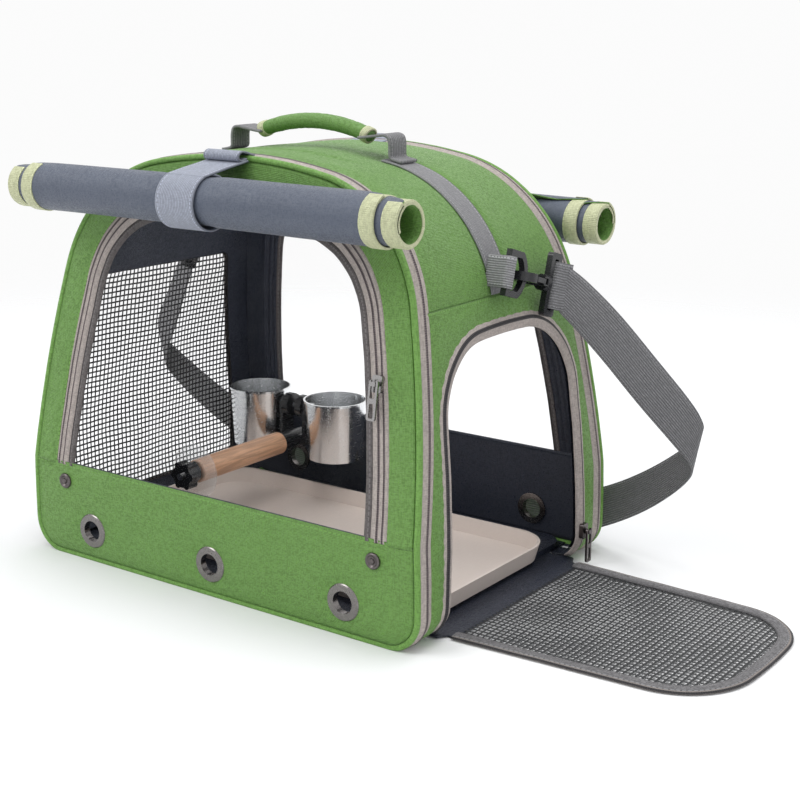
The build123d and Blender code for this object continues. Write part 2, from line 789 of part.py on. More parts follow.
with BuildPart() as hook:
    with BuildSketch(hook_plane.offset(-hook_t / 2)):
        with Locations((hook_mid, 0)):
            SlotOverall(hook_open + 2 * hook_wire, hook_w)
            RectangleRounded(hook_open, hook_w - 2 * hook_wire, 2, mode=Mode.SUBTRACT)
        with Locations(((gate_tip - gate_gap + cheek) / 2, gate_side)):
            Rectangle(cheek - gate_tip + gate_gap, 2 * hook_wire, mode=Mode.SUBTRACT)
    extrude(amount=hook_t)
    with BuildSketch(hook_plane.offset(-gate_t / 2 - gate_gap)):
        with Locations((gate_pin, gate_side)):
            Rectangle(gate_w + 2 * gate_gap + 0.2, 2 * hook_wire)
    extrude(amount=gate_t + 2 * gate_gap, mode=Mode.SUBTRACT)
    with BuildSketch(hook_plane):
        with Locations((gate_pin, gate_side)):
            Circle(gate_pin_r + rod_fit)
    extrude(amount=hook_t, both=True, mode=Mode.SUBTRACT)
    with BuildSketch(stem_plane.offset(hub_end - hub_len - hook_wire / 2)):
        Circle(hook_hub_r)
    extrude(amount=hub_len + hook_wire / 2)
    with BuildSketch(stem_plane.offset(hook_nose + hook_open - 1)):
        Circle(stem_r + rod_fit)
    extrude(amount=hub_end, mode=Mode.SUBTRACT)
save_ends(hook, "hook")

with BuildPart() as gate:
    with BuildSketch(hook_plane.offset(-gate_t / 2)):
        with Locations((gate_pin + gate_w / 2 - gate_len / 2, gate_side)):
            SlotOverall(gate_len, gate_w)
    extrude(amount=gate_t)
    with BuildSketch(hook_plane):
        with Locations((gate_pin, gate_side)):
            Circle(gate_pin_r)
    extrude(amount=hook_t / 2 - layer_gap, both=True)
save_ends(gate, "hook_gate")

swivel_mid = hub_end + clear + ring_wire + swivel_slot / 2
with BuildPart() as swivel:
    with BuildSketch(ring_plane.offset(-wire_r)):
        with Locations((swivel_mid, 0)):
            RectangleRounded(swivel_slot + 2 * ring_wire, strap_w + 3 + 2 * ring_wire, 3)
            RectangleRounded(swivel_slot, strap_w + 3, 1.5, mode=Mode.SUBTRACT)
    extrude(amount=ring_wire)
    with BuildSketch(stem_plane.offset(hook_nose + hook_open - 1)):
        Circle(stem_r)
    extrude(amount=hub_end - hook_nose - hook_open + 2)
    with BuildSketch(stem_plane.offset(hook_nose + hook_open - clear)):
        Circle(stem_r + 1.4)
    extrude(amount=-1.5)
save_both(swivel, "hook_swivels", Plane.YZ)

# ---- shoulder strap: an upright ribbon, its plan in XY and its fall in YZ --------------------------
bar_at = ring_plane.from_local_coords((swivel_mid + swivel_slot / 2 + wire_r, 0, 0))
bar_plane = Plane(bar_at, x_dir=(1, 0, 0), z_dir=ring_plane.y_dir)
bar_y, bar_z = bar_plane.origin.Y, bar_plane.origin.Z
strap_rest_z = strap_low + strap_w / 2
fall = (
    (bar_y - 5, bar_z + 2, strap_w * 0.52),
    (bar_y + 9, bar_z - 8, strap_w * 0.58),
    (strap_apex[1], strap_apex[2], strap_w * 0.66),
    (strap_back_y - 14, strap_rest_z + 22, strap_w * 0.57),
    (strap_back_y - 4, strap_rest_z + 1, strap_w * 0.51),
    (strap_back_y - 2, strap_rest_z, strap_w / 2),
)

with BuildPart() as strap:
    with BuildSketch(Plane.XY):
        with BuildLine():
            FilletPolyline(
                (ring_x + wire_r + strap_t, bar_y),
                (strap_apex[0], strap_apex[1]),
                (strap_run_x, strap_back_y),
                (0, strap_back_y),
                radius=strap_turn_r,
            )
        trace(line_width=strap_t)
    extrude(amount=crown_z)
    with BuildSketch(Plane.YZ):
        with BuildLine():
            Polyline(
                [(y, z + half) for y, z, half in fall]
                + [(strap_back_y + strap_t, strap_rest_z + strap_w / 2), (strap_back_y + strap_t, strap_low)]
                + [(y, z - half) for y, z, half in fall[::-1]],
                close=True,
            )
        make_face()
    extrude(amount=far, both=True, mode=Mode.INTERSECT)
    with BuildSketch(bar_plane):
        Circle(wire_r * 1.5 + layer_gap + strap_t)
    extrude(amount=strap_w / 2, both=True)
    with BuildSketch(bar_plane):
        Rectangle(ring_wire + 2 * layer_gap, ring_wire + 2 * layer_gap)
    extrude(amount=strap_w, both=True, mode=Mode.SUBTRACT)

back_zone = box((-strap_run_x, strap_run_x), (-far, far), (-1, far))
with BuildPart() as strap_end:
    add(strap.part)
    add(back_zone, mode=Mode.SUBTRACT)
save_ends(strap_end, "strap_end")

with BuildPart() as strap_back:
    with BuildPart(mode=Mode.PRIVATE) as other_half:
        mirror(strap.part, about=Plane.YZ)
    add(strap.part)
    add(other_half.part)
    add(back_zone, mode=Mode.INTERSECT)
save(strap_back, "strap_back")

with BuildPart() as adjuster:
    with Locations((0, strap_back_y, strap_rest_z)):
        Box(adjuster_len, strap_t + 2 * clear + 2 * adjuster_wall, strap_w + 2 * clear + 2 * adjuster_wall)
        Box(far, strap_t + 2 * clear, strap_w + 2 * clear, mode=Mode.SUBTRACT)
save(adjuster, "strap_adjuster")

# ---- tray ------------------------------------------------------------------------------------------
with BuildPart() as tray:
    with BuildSketch(Plane.XY.offset(tray_z)):
        RectangleRounded(2 * (tray_half - tray_draft), tray_w - 2 * tray_draft, tray_r - tray_draft)
    with BuildSketch(Plane.XY.offset(tray_z + tray_h)):
        RectangleRounded(2 * tray_half, tray_w, tray_r)
    loft()
    with BuildSketch(Plane.XY.offset(tray_z + tray_t)):
        tray_in = tray_draft + tray_t
        RectangleRounded(2 * (tray_half - tray_in), tray_w - 2 * tray_in, tray_r - tray_in)
    with BuildSketch(Plane.XY.offset(tray_z + tray_h + 0.01)):
        RectangleRounded(2 * (tray_half - tray_t), tray_w - 2 * tray_t, tray_r - tray_t)
    loft(mode=Mode.SUBTRACT)
save(tray, "tray")

# ---- perch: rod, dowel, star knob, washers ---------------------------------------------------------
perch_axis = Plane((perch_x, 0, perch_z), x_dir=(1, 0, 0), z_dir=(0, 1, 0))
perch_far_y = perch_near_y + perch_len
rod_near_y = perch_near_y - washer_t - star_t - 3
rod_far_y = face_y + 8

with BuildPart() as perch_rod:
    with BuildSketch(perch_axis.offset(rod_near_y)):
        Circle(rod_d / 2)
    extrude(amount=rod_far_y - rod_near_y)
save(perch_rod, "perch_rod")

with BuildPart() as rod_nut:
    with BuildSketch(perch_axis.offset(face_y)):
        Circle(rod_d * 1.6)
        Circle(rod_d / 2 + rod_fit, mode=Mode.SUBTRACT)
    extrude(amount=1.6)
    with BuildSketch(perch_axis.offset(face_y + 1.6)):
        RegularPolygon(rod_d * 0.9, 6)
        Circle(rod_d / 2 + rod_fit, mode=Mode.SUBTRACT)
    extrude(amount=4.5)
save(rod_nut, "perch_rod_nut")

with BuildPart() as dowel:
    with BuildSketch(perch_axis.offset(perch_near_y)):
        Circle(perch_d / 2)
        Circle(rod_d / 2 + rod_fit, mode=Mode.SUBTRACT)
    extrude(amount=perch_len)
    chamfer(dowel.edges().filter_by(GeomType.CIRCLE).filter_by(lambda edge: edge.radius > rod_d), length=1)
save(dowel, "perch_dowel")

with BuildPart() as perch_washer:
    with BuildSketch(perch_axis.offset(perch_near_y - washer_t)):
        Circle(washer_d / 2)
        Circle(rod_d / 2 + rod_fit, mode=Mode.SUBTRACT)
    extrude(amount=washer_t)
save(perch_washer, "perch_washer")

lobes = 6
with BuildPart() as star_knob:
    with BuildSketch(perch_axis.offset(perch_near_y - washer_t - clear - star_t)):
        Circle(star_d / 2 - 2.5)
        with PolarLocations(star_d / 2 - 3.2, lobes):
            Circle(3.2)
    extrude(amount=star_t * 0.7)
    with BuildSketch(perch_axis.offset(perch_near_y - washer_t - clear - star_t * 0.3)):
        Circle(star_d / 3)
    extrude(amount=star_t * 0.3)
    with BuildSketch(perch_axis.offset(perch_near_y - washer_t - clear - star_t)):
        Circle(rod_d / 2 + rod_fit)
    extrude(amount=star_t, mode=Mode.SUBTRACT)
save(star_knob, "perch_star_knob")

# ---- cup bracket, cups and their knobs -------------------------------------------------------------
hub_r = 8.0
cup_r = cup_d / 2
cup_taper = 4.0
stud_r = 2.2
pivot_z = cup_rim_z - 13
arm_x = cup_out - cup_r - clear - arm_t

with BuildPart() as cup_bracket:
    with BuildSketch(perch_axis.offset(perch_far_y)):
        Circle(hub_r)
    extrude(amount=face_y - lining_in - perch_far_y - 0.1)
    for side in (-1, 1):
        with BuildSketch(Plane.YZ.offset(perch_x + side * (arm_x + arm_t / 2))):
            with Locations((cup_y, (perch_z + pivot_z) / 2)):
                Rectangle(arm_w, pivot_z - perch_z)
            with Locations((cup_y, pivot_z)):
                Circle(arm_w / 2)
        extrude(amount=arm_t / 2, both=True)
    with Locations((perch_x, cup_y, perch_z)):
        Box(2 * (arm_x + arm_t), arm_w, hub_r * 1.2)
    with BuildSketch(Plane.YZ.offset(perch_x)):
        with Locations((cup_y, pivot_z)):
            Circle(stud_r + rod_fit)
    extrude(amount=far, both=True, mode=Mode.SUBTRACT)
    with BuildSketch(perch_axis.offset(perch_far_y)):
        Circle(rod_d / 2 + rod_fit)
    extrude(amount=face_y, mode=Mode.SUBTRACT)
save(cup_bracket, "cup_bracket")

with BuildPart() as cup:
    with BuildSketch(Plane.XZ):
        with BuildLine():
            Polyline(
                (0, cup_rim_z - cup_h),
                (cup_r - cup_taper, cup_rim_z - cup_h),
                (cup_r - 1, cup_rim_z - 2),
                (cup_r, cup_rim_z - 2),
                (cup_r, cup_rim_z),
                (cup_r - 1 - cup_t, cup_rim_z),
                (cup_r - cup_taper - cup_t, cup_rim_z - cup_h + cup_t),
                (0, cup_rim_z - cup_h + cup_t),
                close=True,
            )
        make_face()
    revolve(axis=Axis.Z)
    with BuildSketch(Plane.YZ.offset(-cup_r + 1)):
        with Locations((0, pivot_z)):
            Circle(stud_r * 2)
    extrude(amount=4)
    with BuildSketch(Plane.YZ.offset(-cup_r + 3)):
        with Locations((0, pivot_z)):
            Circle(stud_r)
    extrude(amount=-arm_t - 3 - cup_knob_t)

with BuildPart() as right_cup:
    add(cup.part.moved(Location((perch_x + cup_out, cup_y, 0))))
save(right_cup, "right_cup")

with BuildPart() as left_cup:
    add(mirror(cup.part, about=Plane.YZ, mode=Mode.PRIVATE).moved(Location((perch_x - cup_out, cup_y, 0))))
save(left_cup, "left_cup")

ridges = 12
with BuildPart() as cup_knob:
    with BuildSketch(Plane.YZ.offset(arm_x - clear)):
        Circle(cup_knob_d / 2)
        with PolarLocations(cup_knob_d / 2, ridges):
            Circle(1.2, mode=Mode.SUBTRACT)
        Circle(stud_r + rod_fit, mode=Mode.SUBTRACT)
    extrude(amount=-cup_knob_t)

with BuildPart() as right_cup_knob:
    add(cup_knob.part.moved(Location((perch_x, cup_y, pivot_z))))
save(right_cup_knob, "right_cup_knob")

with BuildPart() as left_cup_knob:
    add(mirror(cup_knob.part, about=Plane.YZ, mode=Mode.PRIVATE).moved(Location((perch_x, cup_y, pivot_z))))
save(left_cup_knob, "left_cup_knob")
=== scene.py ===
"""Soft-sided travel carrier for a small bird: sewn shell, nets, shades, webbing and finishes."""

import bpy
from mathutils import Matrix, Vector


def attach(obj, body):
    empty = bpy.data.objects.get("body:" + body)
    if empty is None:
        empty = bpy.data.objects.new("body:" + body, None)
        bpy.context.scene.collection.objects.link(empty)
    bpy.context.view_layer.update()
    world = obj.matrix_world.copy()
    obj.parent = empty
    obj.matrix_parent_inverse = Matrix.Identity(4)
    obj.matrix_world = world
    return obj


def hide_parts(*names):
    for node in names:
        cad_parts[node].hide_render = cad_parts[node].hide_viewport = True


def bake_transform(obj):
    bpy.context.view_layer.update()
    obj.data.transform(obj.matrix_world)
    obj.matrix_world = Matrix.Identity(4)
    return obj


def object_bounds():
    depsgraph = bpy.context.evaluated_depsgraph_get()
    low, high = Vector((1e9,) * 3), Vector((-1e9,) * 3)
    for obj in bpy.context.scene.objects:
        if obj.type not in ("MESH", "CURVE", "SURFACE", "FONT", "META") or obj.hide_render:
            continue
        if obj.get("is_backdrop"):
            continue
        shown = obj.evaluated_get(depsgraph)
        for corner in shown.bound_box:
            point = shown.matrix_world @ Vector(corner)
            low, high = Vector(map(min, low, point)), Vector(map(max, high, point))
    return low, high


bl_info = {
    "name": "Bird travel carrier",
    "version": (1, 0, 0),
    "blender": (4, 5, 0),
    "location": "3D View > Sidebar > Carrier",
    "description": "Builds a soft-sided travel carrier around its frame",
    "category": "Object",
}

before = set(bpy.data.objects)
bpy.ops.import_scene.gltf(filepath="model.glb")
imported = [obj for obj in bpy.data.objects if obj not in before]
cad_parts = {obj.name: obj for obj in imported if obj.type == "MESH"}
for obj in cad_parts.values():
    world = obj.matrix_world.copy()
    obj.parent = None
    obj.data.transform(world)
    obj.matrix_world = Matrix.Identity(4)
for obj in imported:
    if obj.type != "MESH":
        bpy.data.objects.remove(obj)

from math import asin, atan2, cos, hypot, pi, radians, sin, sqrt, tan

import bmesh
import bpy
from bpy.props import FloatProperty, FloatVectorProperty, PointerProperty
from mathutils import Matrix, Vector, noise

MM = 0.001

# ---- the shell's outline, in millimetres ----
BASE_HALF, SHOULDER_HALF, SHOULDER_Z, CROWN_Z, SIDE_BULGE = 203.0, 161.5, 319.4, 349.0, 13.1
SHOULDER_R, BASE_R = 118.0, 28.0
FACE_OUT, BAND_TOP, LEAN = 140.0, 83.0, radians(9.1)
SEAM_Z = 247.0
PIPING_IN, PIPING_AXIS, ZIP_IN = 3.5, 1.15, 16.5
FRAME_IN, FILM_IN = 27.0, 46.5
BASE_FLAT = 170.0
BAND_SEAM, FRAME_SEAM = BAND_TOP + 0.6, FRAME_IN + 1
EYELETS, EYELET_Z, EYELET_HOLE = (-135.0, 0.0, 135.0), 27.0, 12.0
DOOR_HALF, DOOR_BROW, DOOR_TOP, DOOR_R, BROW_RISE = 108.0, 98.0, 228.0, 70.0, 7.0
DOOR_FOOT = 6.0
SILL_Z, SILL_CORNER, LEFT_BORDER, LEFT_EDGE = 20.0, 14.0, 6.0, 6.0
LEAF_X, LEAF_FOOT, LEAF_INSET, LEAF_EDGE, LEAF_MIDDLE = 200.34, 5.0, 11.0, 9.6, 1.75
LEFT_NET_MIDDLE, DOOR_NET_MIDDLE = 130.0, 110.0
HINGE_FROM, HINGE_TO, HINGE_HALF = 166.0, 207.5, 96.5
HINGE_WIDER, HINGE_NARROWS = 8.5, 196.0
SHELL_MIDDLE = (0.0, 0.0, 150.0)


def meeting(a, ra, b, rb):
    """Upper right crossing of two circles."""
    dx, dz = b[0] - a[0], b[1] - a[1]
    span = hypot(dx, dz)
    along = (span**2 + ra**2 - rb**2) / (2 * span)
    across = sqrt(ra**2 - along**2)
    return a[0] + (along * dx - across * dz) / span, a[1] + (along * dz + across * dx) / span


def angle(a, b):
    """Direction from a to b."""
    return atan2(b[1] - a[1], b[0] - a[0])


def outline_arcs():
    """Right half of the arch from its crown to its foot: centre, radius, start and end angle."""
    chord = hypot(BASE_HALF - SHOULDER_HALF, SHOULDER_Z)
    side_r = ((chord / 2) ** 2 + SIDE_BULGE**2) / (2 * SIDE_BULGE)
    nx, nz = SHOULDER_Z / chord, (BASE_HALF - SHOULDER_HALF) / chord
    side = (
        (BASE_HALF + SHOULDER_HALF) / 2 + nx * (SIDE_BULGE - side_r),
        SHOULDER_Z / 2 + nz * (SIDE_BULGE - side_r),
    )
    rise = CROWN_Z - SHOULDER_Z
    top_r = (SHOULDER_HALF**2 + rise**2) / (2 * rise)
    top = (0.0, CROWN_Z - top_r)
    shoulder = meeting(side, side_r - SHOULDER_R, top, top_r - SHOULDER_R)
    foot = (side[0] + sqrt((side_r - BASE_R) ** 2 - (BASE_R - side[1]) ** 2), BASE_R)
    a, b, c = angle(top, shoulder), angle(side, shoulder), angle(side, foot)
    return [
        (top, top_r, pi / 2, a),
        (shoulder, SHOULDER_R, a, b),
        (side, side_r, b, c),
        (foot, BASE_R, c, -pi / 2),
    ]


ARCS = outline_arcs()
RIM = sum(r * (a - b) for _, r, a, b in ARCS)


def rim(s, inset=0.0):
    """Point (x, z) of the arch at a distance from its crown, right positive, drawn in by inset."""
    way, left = (1 if s >= 0 else -1), abs(s)
    for (cx, cz), r, a, b in ARCS:
        if left <= r * (a - b):
            t = a - left / r
            return way * (cx + (r - inset) * cos(t)), cz + (r - inset) * sin(t)
        left -= r * (a - b)
    return way * (ARCS[-1][0][0] - left), inset


def bisect(low, high, test):
    """Value between low and high where test turns true."""
    for _ in range(40):
        mid = (low + high) / 2
        low, high = (low, mid) if test(mid) else (mid, high)
    return (low + high) / 2


def rim_at_z(z, inset=0.0):
    """Distance from the crown at which the arch is at height z."""
    return bisect(0.0, RIM, lambda s: rim(s, inset)[1] < z)


def half_at(z, inset=0.0):
    """Half width of the arch at height z."""
    return rim(rim_at_z(z, inset), inset)[0]


def face_out(z):
    """How far the faces stand from the middle at height z."""
    return FACE_OUT - max(0.0, z - BAND_TOP) * tan(LEAN)


def end_reach(z):
    """How far the end and roof panels reach from the middle at height z, just under the edge zippers."""
    return face_out(max(z, 0)) - ZIP_IN + 1


SEAM_S = rim_at_z(SEAM_Z)
FLAT_S = RIM + ARCS[-1][0][0] - BASE_FLAT
HALF_ROWS = [half_at(z * 2.0, PIPING_IN) for z in range(2, 44)]


def band_half(z):
    """Half width of the lower band at height z, inside the piping."""
    k = min(max(z / 2.0 - 2, 0.0), len(HALF_ROWS) - 1.001)
    i = int(k)
    return HALF_ROWS[i] + (HALF_ROWS[i + 1] - HALF_ROWS[i]) * (k - i)


def arc_points(centre, r, a, b, n):
    """Points along an arc."""
    return [(centre[0] + r * cos(a + (b - a) * i / n), centre[1] + r * sin(a + (b - a) * i / n))
            for i in range(n + 1)]


def even(points, count, closed=False, places=None):
    """Points at even steps along a line; places says how many of a point's values are its place."""
    if closed:
        points = points + points[:1]
    runs = [0.0]
    for p, q in zip(points, points[1:]):
        runs.append(runs[-1] + hypot(*(b - a for a, b in zip(p[:places], q[:places]))))
    out, k = [], 0
    for i in range(count if closed else count + 1):
        d = runs[-1] * i / count
        while k < len(runs) - 2 and runs[k + 1] < d:
            k += 1
        f = (d - runs[k]) / max(runs[k + 1] - runs[k], 1e-9)
        out.append(tuple(a + (b - a) * f for a, b in zip(points[k], points[k + 1])))
    return out


def leaf(inset, foot, count, corner=None):
    """Outline of the doorway from its right foot over the top; closed along the sill if corner is given."""
    half, top, r = DOOR_HALF - inset, DOOR_TOP - inset, DOOR_R - inset
    brow = half - (DOOR_HALF - DOOR_BROW)
    big = (brow**2 + BROW_RISE**2) / (2 * BROW_RISE)
    run, rise = brow - half, top - BROW_RISE - foot
    length = hypot(run, rise)
    d = (run / length, rise / length)
    m = (-d[1], d[0])
    mid = (0.0, top - big)

    def off(t):
        return (half + d[0] * t + m[0] * r, foot + d[1] * t + m[1] * r)

    t = bisect(0.0, length, lambda k: hypot(off(k)[0], off(k)[1] - mid[1]) > big - r)
    c = off(t)
    a0, a1 = atan2(-m[1], -m[0]), angle(mid, c)
    right = arc_points(c, r, a0, a1, 24) + arc_points(mid, big, a1, pi / 2, 12)[1:]
    if corner is None:
        start = [(half, foot)]
    else:
        start = arc_points((half - corner, foot + corner), corner, -pi / 2, 0.0, 8)
    right = start + right
    points = right + [(-y, z) for y, z in right[-2::-1]]
    return even(points, count, corner is not None)


def left_opening(inset, count):
    """Outline of the left net's opening, closed, with sides that follow the lean of the faces."""
    reach = FACE_OUT - ZIP_IN - LEFT_BORDER - inset
    low, high = SILL_Z + inset, SEAM_Z - LEFT_BORDER - inset
    brow = reach - (high - BAND_TOP) * tan(LEAN)
    r = SILL_CORNER - inset
    right = arc_points((reach - r, low + r), r, -pi / 2, 0.0, 6) + [(reach, BAND_TOP)]
    right += arc_points((brow + r * tan(LEAN) - r / cos(LEAN), high - r), r, LEAN, pi / 2, 6)
    return even(right + [(-y, z) for y, z in right[::-1]], count, True)


def across_of(points, closed=False):
    """Outward unit normals of a line that runs anticlockwise."""
    n = len(points)
    out = []
    for i in range(n):
        a = points[(i - 1) % n] if closed or i else points[0]
        b = points[(i + 1) % n] if closed or i < n - 1 else points[-1]
        dx, dz = b[0] - a[0], b[1] - a[1]
        size = hypot(dx, dz) or 1.0
        out.append((dz / size, -dx / size))
    return out


def inside(polygon, p):
    """True if p lies in the polygon."""
    hit = False
    for (ax, az), (bx, bz) in zip(polygon, polygon[1:] + polygon[:1]):
        if (az > p[1]) != (bz > p[1]) and p[0] < (bx - ax) * (p[1] - az) / (bz - az) + ax:
            hit = not hit
    return hit


def fade(x, width):
    """Smooth step from 0 at 0 to 1 at width."""
    t = min(max(x / width, 0.0), 1.0)
    return t * t * (3 - 2 * t)


def crumple(x, y, z, size, seed=0.0):
    """Soft uneven swell of about -1 to 1, with the given size in millimetres."""
    return noise.noise(Vector((x / size + seed, y / size - seed, z / size + 2.3 * seed)))


def spline(points, count):
    """Smooth line through points of any number of values."""
    out, n = [], len(points) - 1
    for i in range(count + 1):
        f = n * i / count
        k = min(int(f), n - 1)
        t = f - k
        p = [points[min(max(k + j, 0), n)] for j in (-1, 0, 1, 2)]
        out.append(tuple(
            0.5 * (2 * b + (c - a) * t + (2 * a - 5 * b + 4 * c - d) * t * t + (3 * b - a - 3 * c + d) * t**3)
            for a, b, c, d in zip(*p)
        ))
    return out


# ---- making pieces ----
def shown(name, data):
    """New object at the origin of the scene."""
    made = bpy.data.objects.new(name, data)
    bpy.context.scene.collection.objects.link(made)
    return made


def settle(name, bm, finish, nodes=(), body="root", thick=0.0, away_from=SHELL_MIDDLE, closed=False,
           offset=-1.0, lined=None):
    """Turns a bmesh in millimetres into a finished piece that rides on a body."""
    if closed:
        bmesh.ops.recalc_face_normals(bm, faces=bm.faces)
    else:
        bm.normal_update()
        middle = Vector(away_from)
        if sum((f.calc_center_median() - middle).dot(f.normal) * f.calc_area() for f in bm.faces) < 0:
            bmesh.ops.reverse_faces(bm, faces=bm.faces)
    bmesh.ops.scale(bm, vec=(MM, MM, MM), verts=bm.verts)
    mesh = bpy.data.meshes.new(name)
    bm.to_mesh(mesh)
    bm.free()
    mesh.shade_smooth()
    piece = shown(name, mesh)
    if thick:
        wall = piece.modifiers.new("Cloth thickness", "SOLIDIFY")
        wall.thickness, wall.offset = thick * MM, offset
    mesh.materials.append(FINISHES[finish])
    if lined:
        mesh.materials.append(FINISHES[lined])
        wall.material_offset = wall.material_offset_rim = 1
    if nodes:
        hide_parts(*nodes)
    if body:
        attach(piece, body)
    return piece


def patch(nu, nv, place, uv, holes=(), flat=None, reach=7.0):
    """Grid of nu by nv, from 0 to 1 each way, laid out by place, with the holes of its flat layout cut."""
    bm = bmesh.new()
    bmesh.ops.create_grid(bm, x_segments=nu, y_segments=nv, size=0.5)
    layer = bm.loops.layers.uv.new("UVMap")
    spot = {v: (v.co.x + 0.5, v.co.y + 0.5) for v in bm.verts}
    for f in bm.faces:
        for loop in f.loops:
            loop[layer].uv = tuple(c * MM for c in uv(*spot[loop.vert]))
    for hole in holes:
        gone = []
        for f in bm.faces:
            corners = [flat(*spot[v]) for v in f.verts]
            if inside(hole, tuple(sum(c) / len(corners) for c in zip(*corners))):
                gone.append(f)
        bmesh.ops.delete(bm, geom=gone, context="FACES")
        for v in bm.verts:
            if v.is_boundary:
                at = flat(*spot[v])
                near = min(hole, key=lambda p: hypot(p[0] - at[0], p[1] - at[1]))
                if hypot(near[0] - at[0], near[1] - at[1]) < reach:
                    v.co = Vector(place(*spot[v], near))
                    v.tag = True
    for v in bm.verts:
        if not v.tag:
            v.co = Vector(place(*spot[v]))
    return bm


def strip(line, profile, place, closed=False, tube=False):
    """Profile of (across, lift) pairs drawn along a line: place(i, across, lift) gives each point."""
    nu = len(line) if closed else len(line) - 1
    nv = len(profile) if tube else len(profile) - 1
    total = 0.0
    dist = [0.0]
    for a, b in zip(line, line[1:] + line[:1]):
        total += hypot(*(q - p for p, q in zip(a, b)))
        dist.append(total)
    bm = bmesh.new()
    bmesh.ops.create_grid(bm, x_segments=nu, y_segments=nv, size=0.5)
    layer = bm.loops.layers.uv.new("UVMap")
    girth = [0.0]
    for a, b in zip(profile, profile[1:] + profile[:1]):
        girth.append(girth[-1] + hypot(b[0] - a[0], b[1] - a[1]))
    spot = {v: (round((v.co.x + 0.5) * nu), round((v.co.y + 0.5) * nv)) for v in bm.verts}
    for f in bm.faces:
        for loop in f.loops:
            i, j = spot[loop.vert]
            loop[layer].uv = (girth[j] * MM, dist[i] * MM)
    for v, (i, j) in spot.items():
        across, lift = profile[j % len(profile)]
        v.co = Vector(place(i % len(line), across, lift))
    if closed or tube:
        bmesh.ops.remove_doubles(bm, verts=bm.verts, dist=0.01)
    return bm


def band_profile(half, steps, arch=0.0):
    """Cross-section of a band of webbing, raised by arch at its middle."""
    return [(-half + 2 * half * k / steps, arch * sin(pi * k / steps)) for k in range(steps + 1)]


def on_face(side):
    """Place on the front (-1) or back (1) face: (x, z) with a lift."""
    return lambda x, z, lift: (x, side * (face_out(z) + lift), z)


def on_end(side):
    """Place on an end of the shell: (y, z) with a lift."""
    def put(y, z, lift):
        s = rim_at_z(z)
        x, up = rim(s, -lift)
        return (side * x, y, up)
    return put


# ---- nodes ----
FINISHES = {}
GROUPS = {}


def feed(tree, socket, value):
    """Gives a socket a plain value or links another node's output to it."""
    if isinstance(value, bpy.types.NodeSocket):
        tree.links.new(value, socket)
    else:
        socket.default_value = value


def node(tree, kind, inputs=None, **settings):
    """Adds a shader node; an input takes a value or another node's output."""
    made = tree.nodes.new(kind)
    for key, value in settings.items():
        setattr(made, key, value)
    for key, value in (inputs or {}).items():
        feed(tree, made.inputs[key], value)
    return made


def shifted(tree, operation, vector, by):
    """Vector added to or multiplied by another, or scaled by a value."""
    second = "Scale" if operation == "SCALE" else 1
    return node(tree, "ShaderNodeVectorMath", {0: vector, second: by}, operation=operation).outputs[0]


def noise_at(tree, vector, scale, detail, **more):
    """Outputs of a Noise Texture."""
    given = {"Vector": vector, "Scale": scale, "Detail": detail, **more}
    return node(tree, "ShaderNodeTexNoise", given).outputs


def calc(tree, operation, *values, clamp=False):
    """Output of a Math node."""
    made = node(tree, "ShaderNodeMath", dict(enumerate(values)), operation=operation)
    made.use_clamp = clamp
    return made.outputs[0]


def ramp(tree, value, low, high):
    """0 to 1 as value goes from low to high."""
    return node(tree, "ShaderNodeMapRange", {"Value": value, "From Min": low, "From Max": high},
                interpolation_type="SMOOTHSTEP").outputs["Result"]


def blend_colour(tree, mask, a, b):
    """Colour between a and b."""
    made = node(tree, "ShaderNodeMix", data_type="RGBA")
    for index, value in ((0, mask), (6, a), (7, b)):
        feed(tree, made.inputs[index], value)
    return made.outputs[2]


def group(name, inputs, outputs):
    """Empty node group with float or vector sockets."""
    made = bpy.data.node_groups.new(name, "ShaderNodeTree")
    for key, value in inputs.items():
        kind = "NodeSocketVector" if value is None else "NodeSocketFloat"
        socket = made.interface.new_socket(name=key, in_out="INPUT", socket_type=kind)
        if value is not None:
            socket.default_value = value
    for key in outputs:
        made.interface.new_socket(name=key, in_out="OUTPUT", socket_type="NodeSocketFloat")
    GROUPS[name] = made
    return made, node(made, "NodeGroupInput").outputs, node(made, "NodeGroupOutput").inputs


def use(tree, name, **inputs):
    """Outputs of a node group placed in a material."""
    made = node(tree, "ShaderNodeGroup", node_tree=GROUPS[name])
    for key, value in inputs.items():
        feed(tree, made.inputs[key], value)
    return made.outputs


def waves(tree, value, pitch):
    """Rounded ridges, one each pitch, from 0 to 1."""
    turn = calc(tree, "MULTIPLY", value, calc(tree, "DIVIDE", 2 * pi, pitch))
    return calc(tree, "MULTIPLY_ADD", calc(tree, "SINE", turn), 0.5, 0.5)


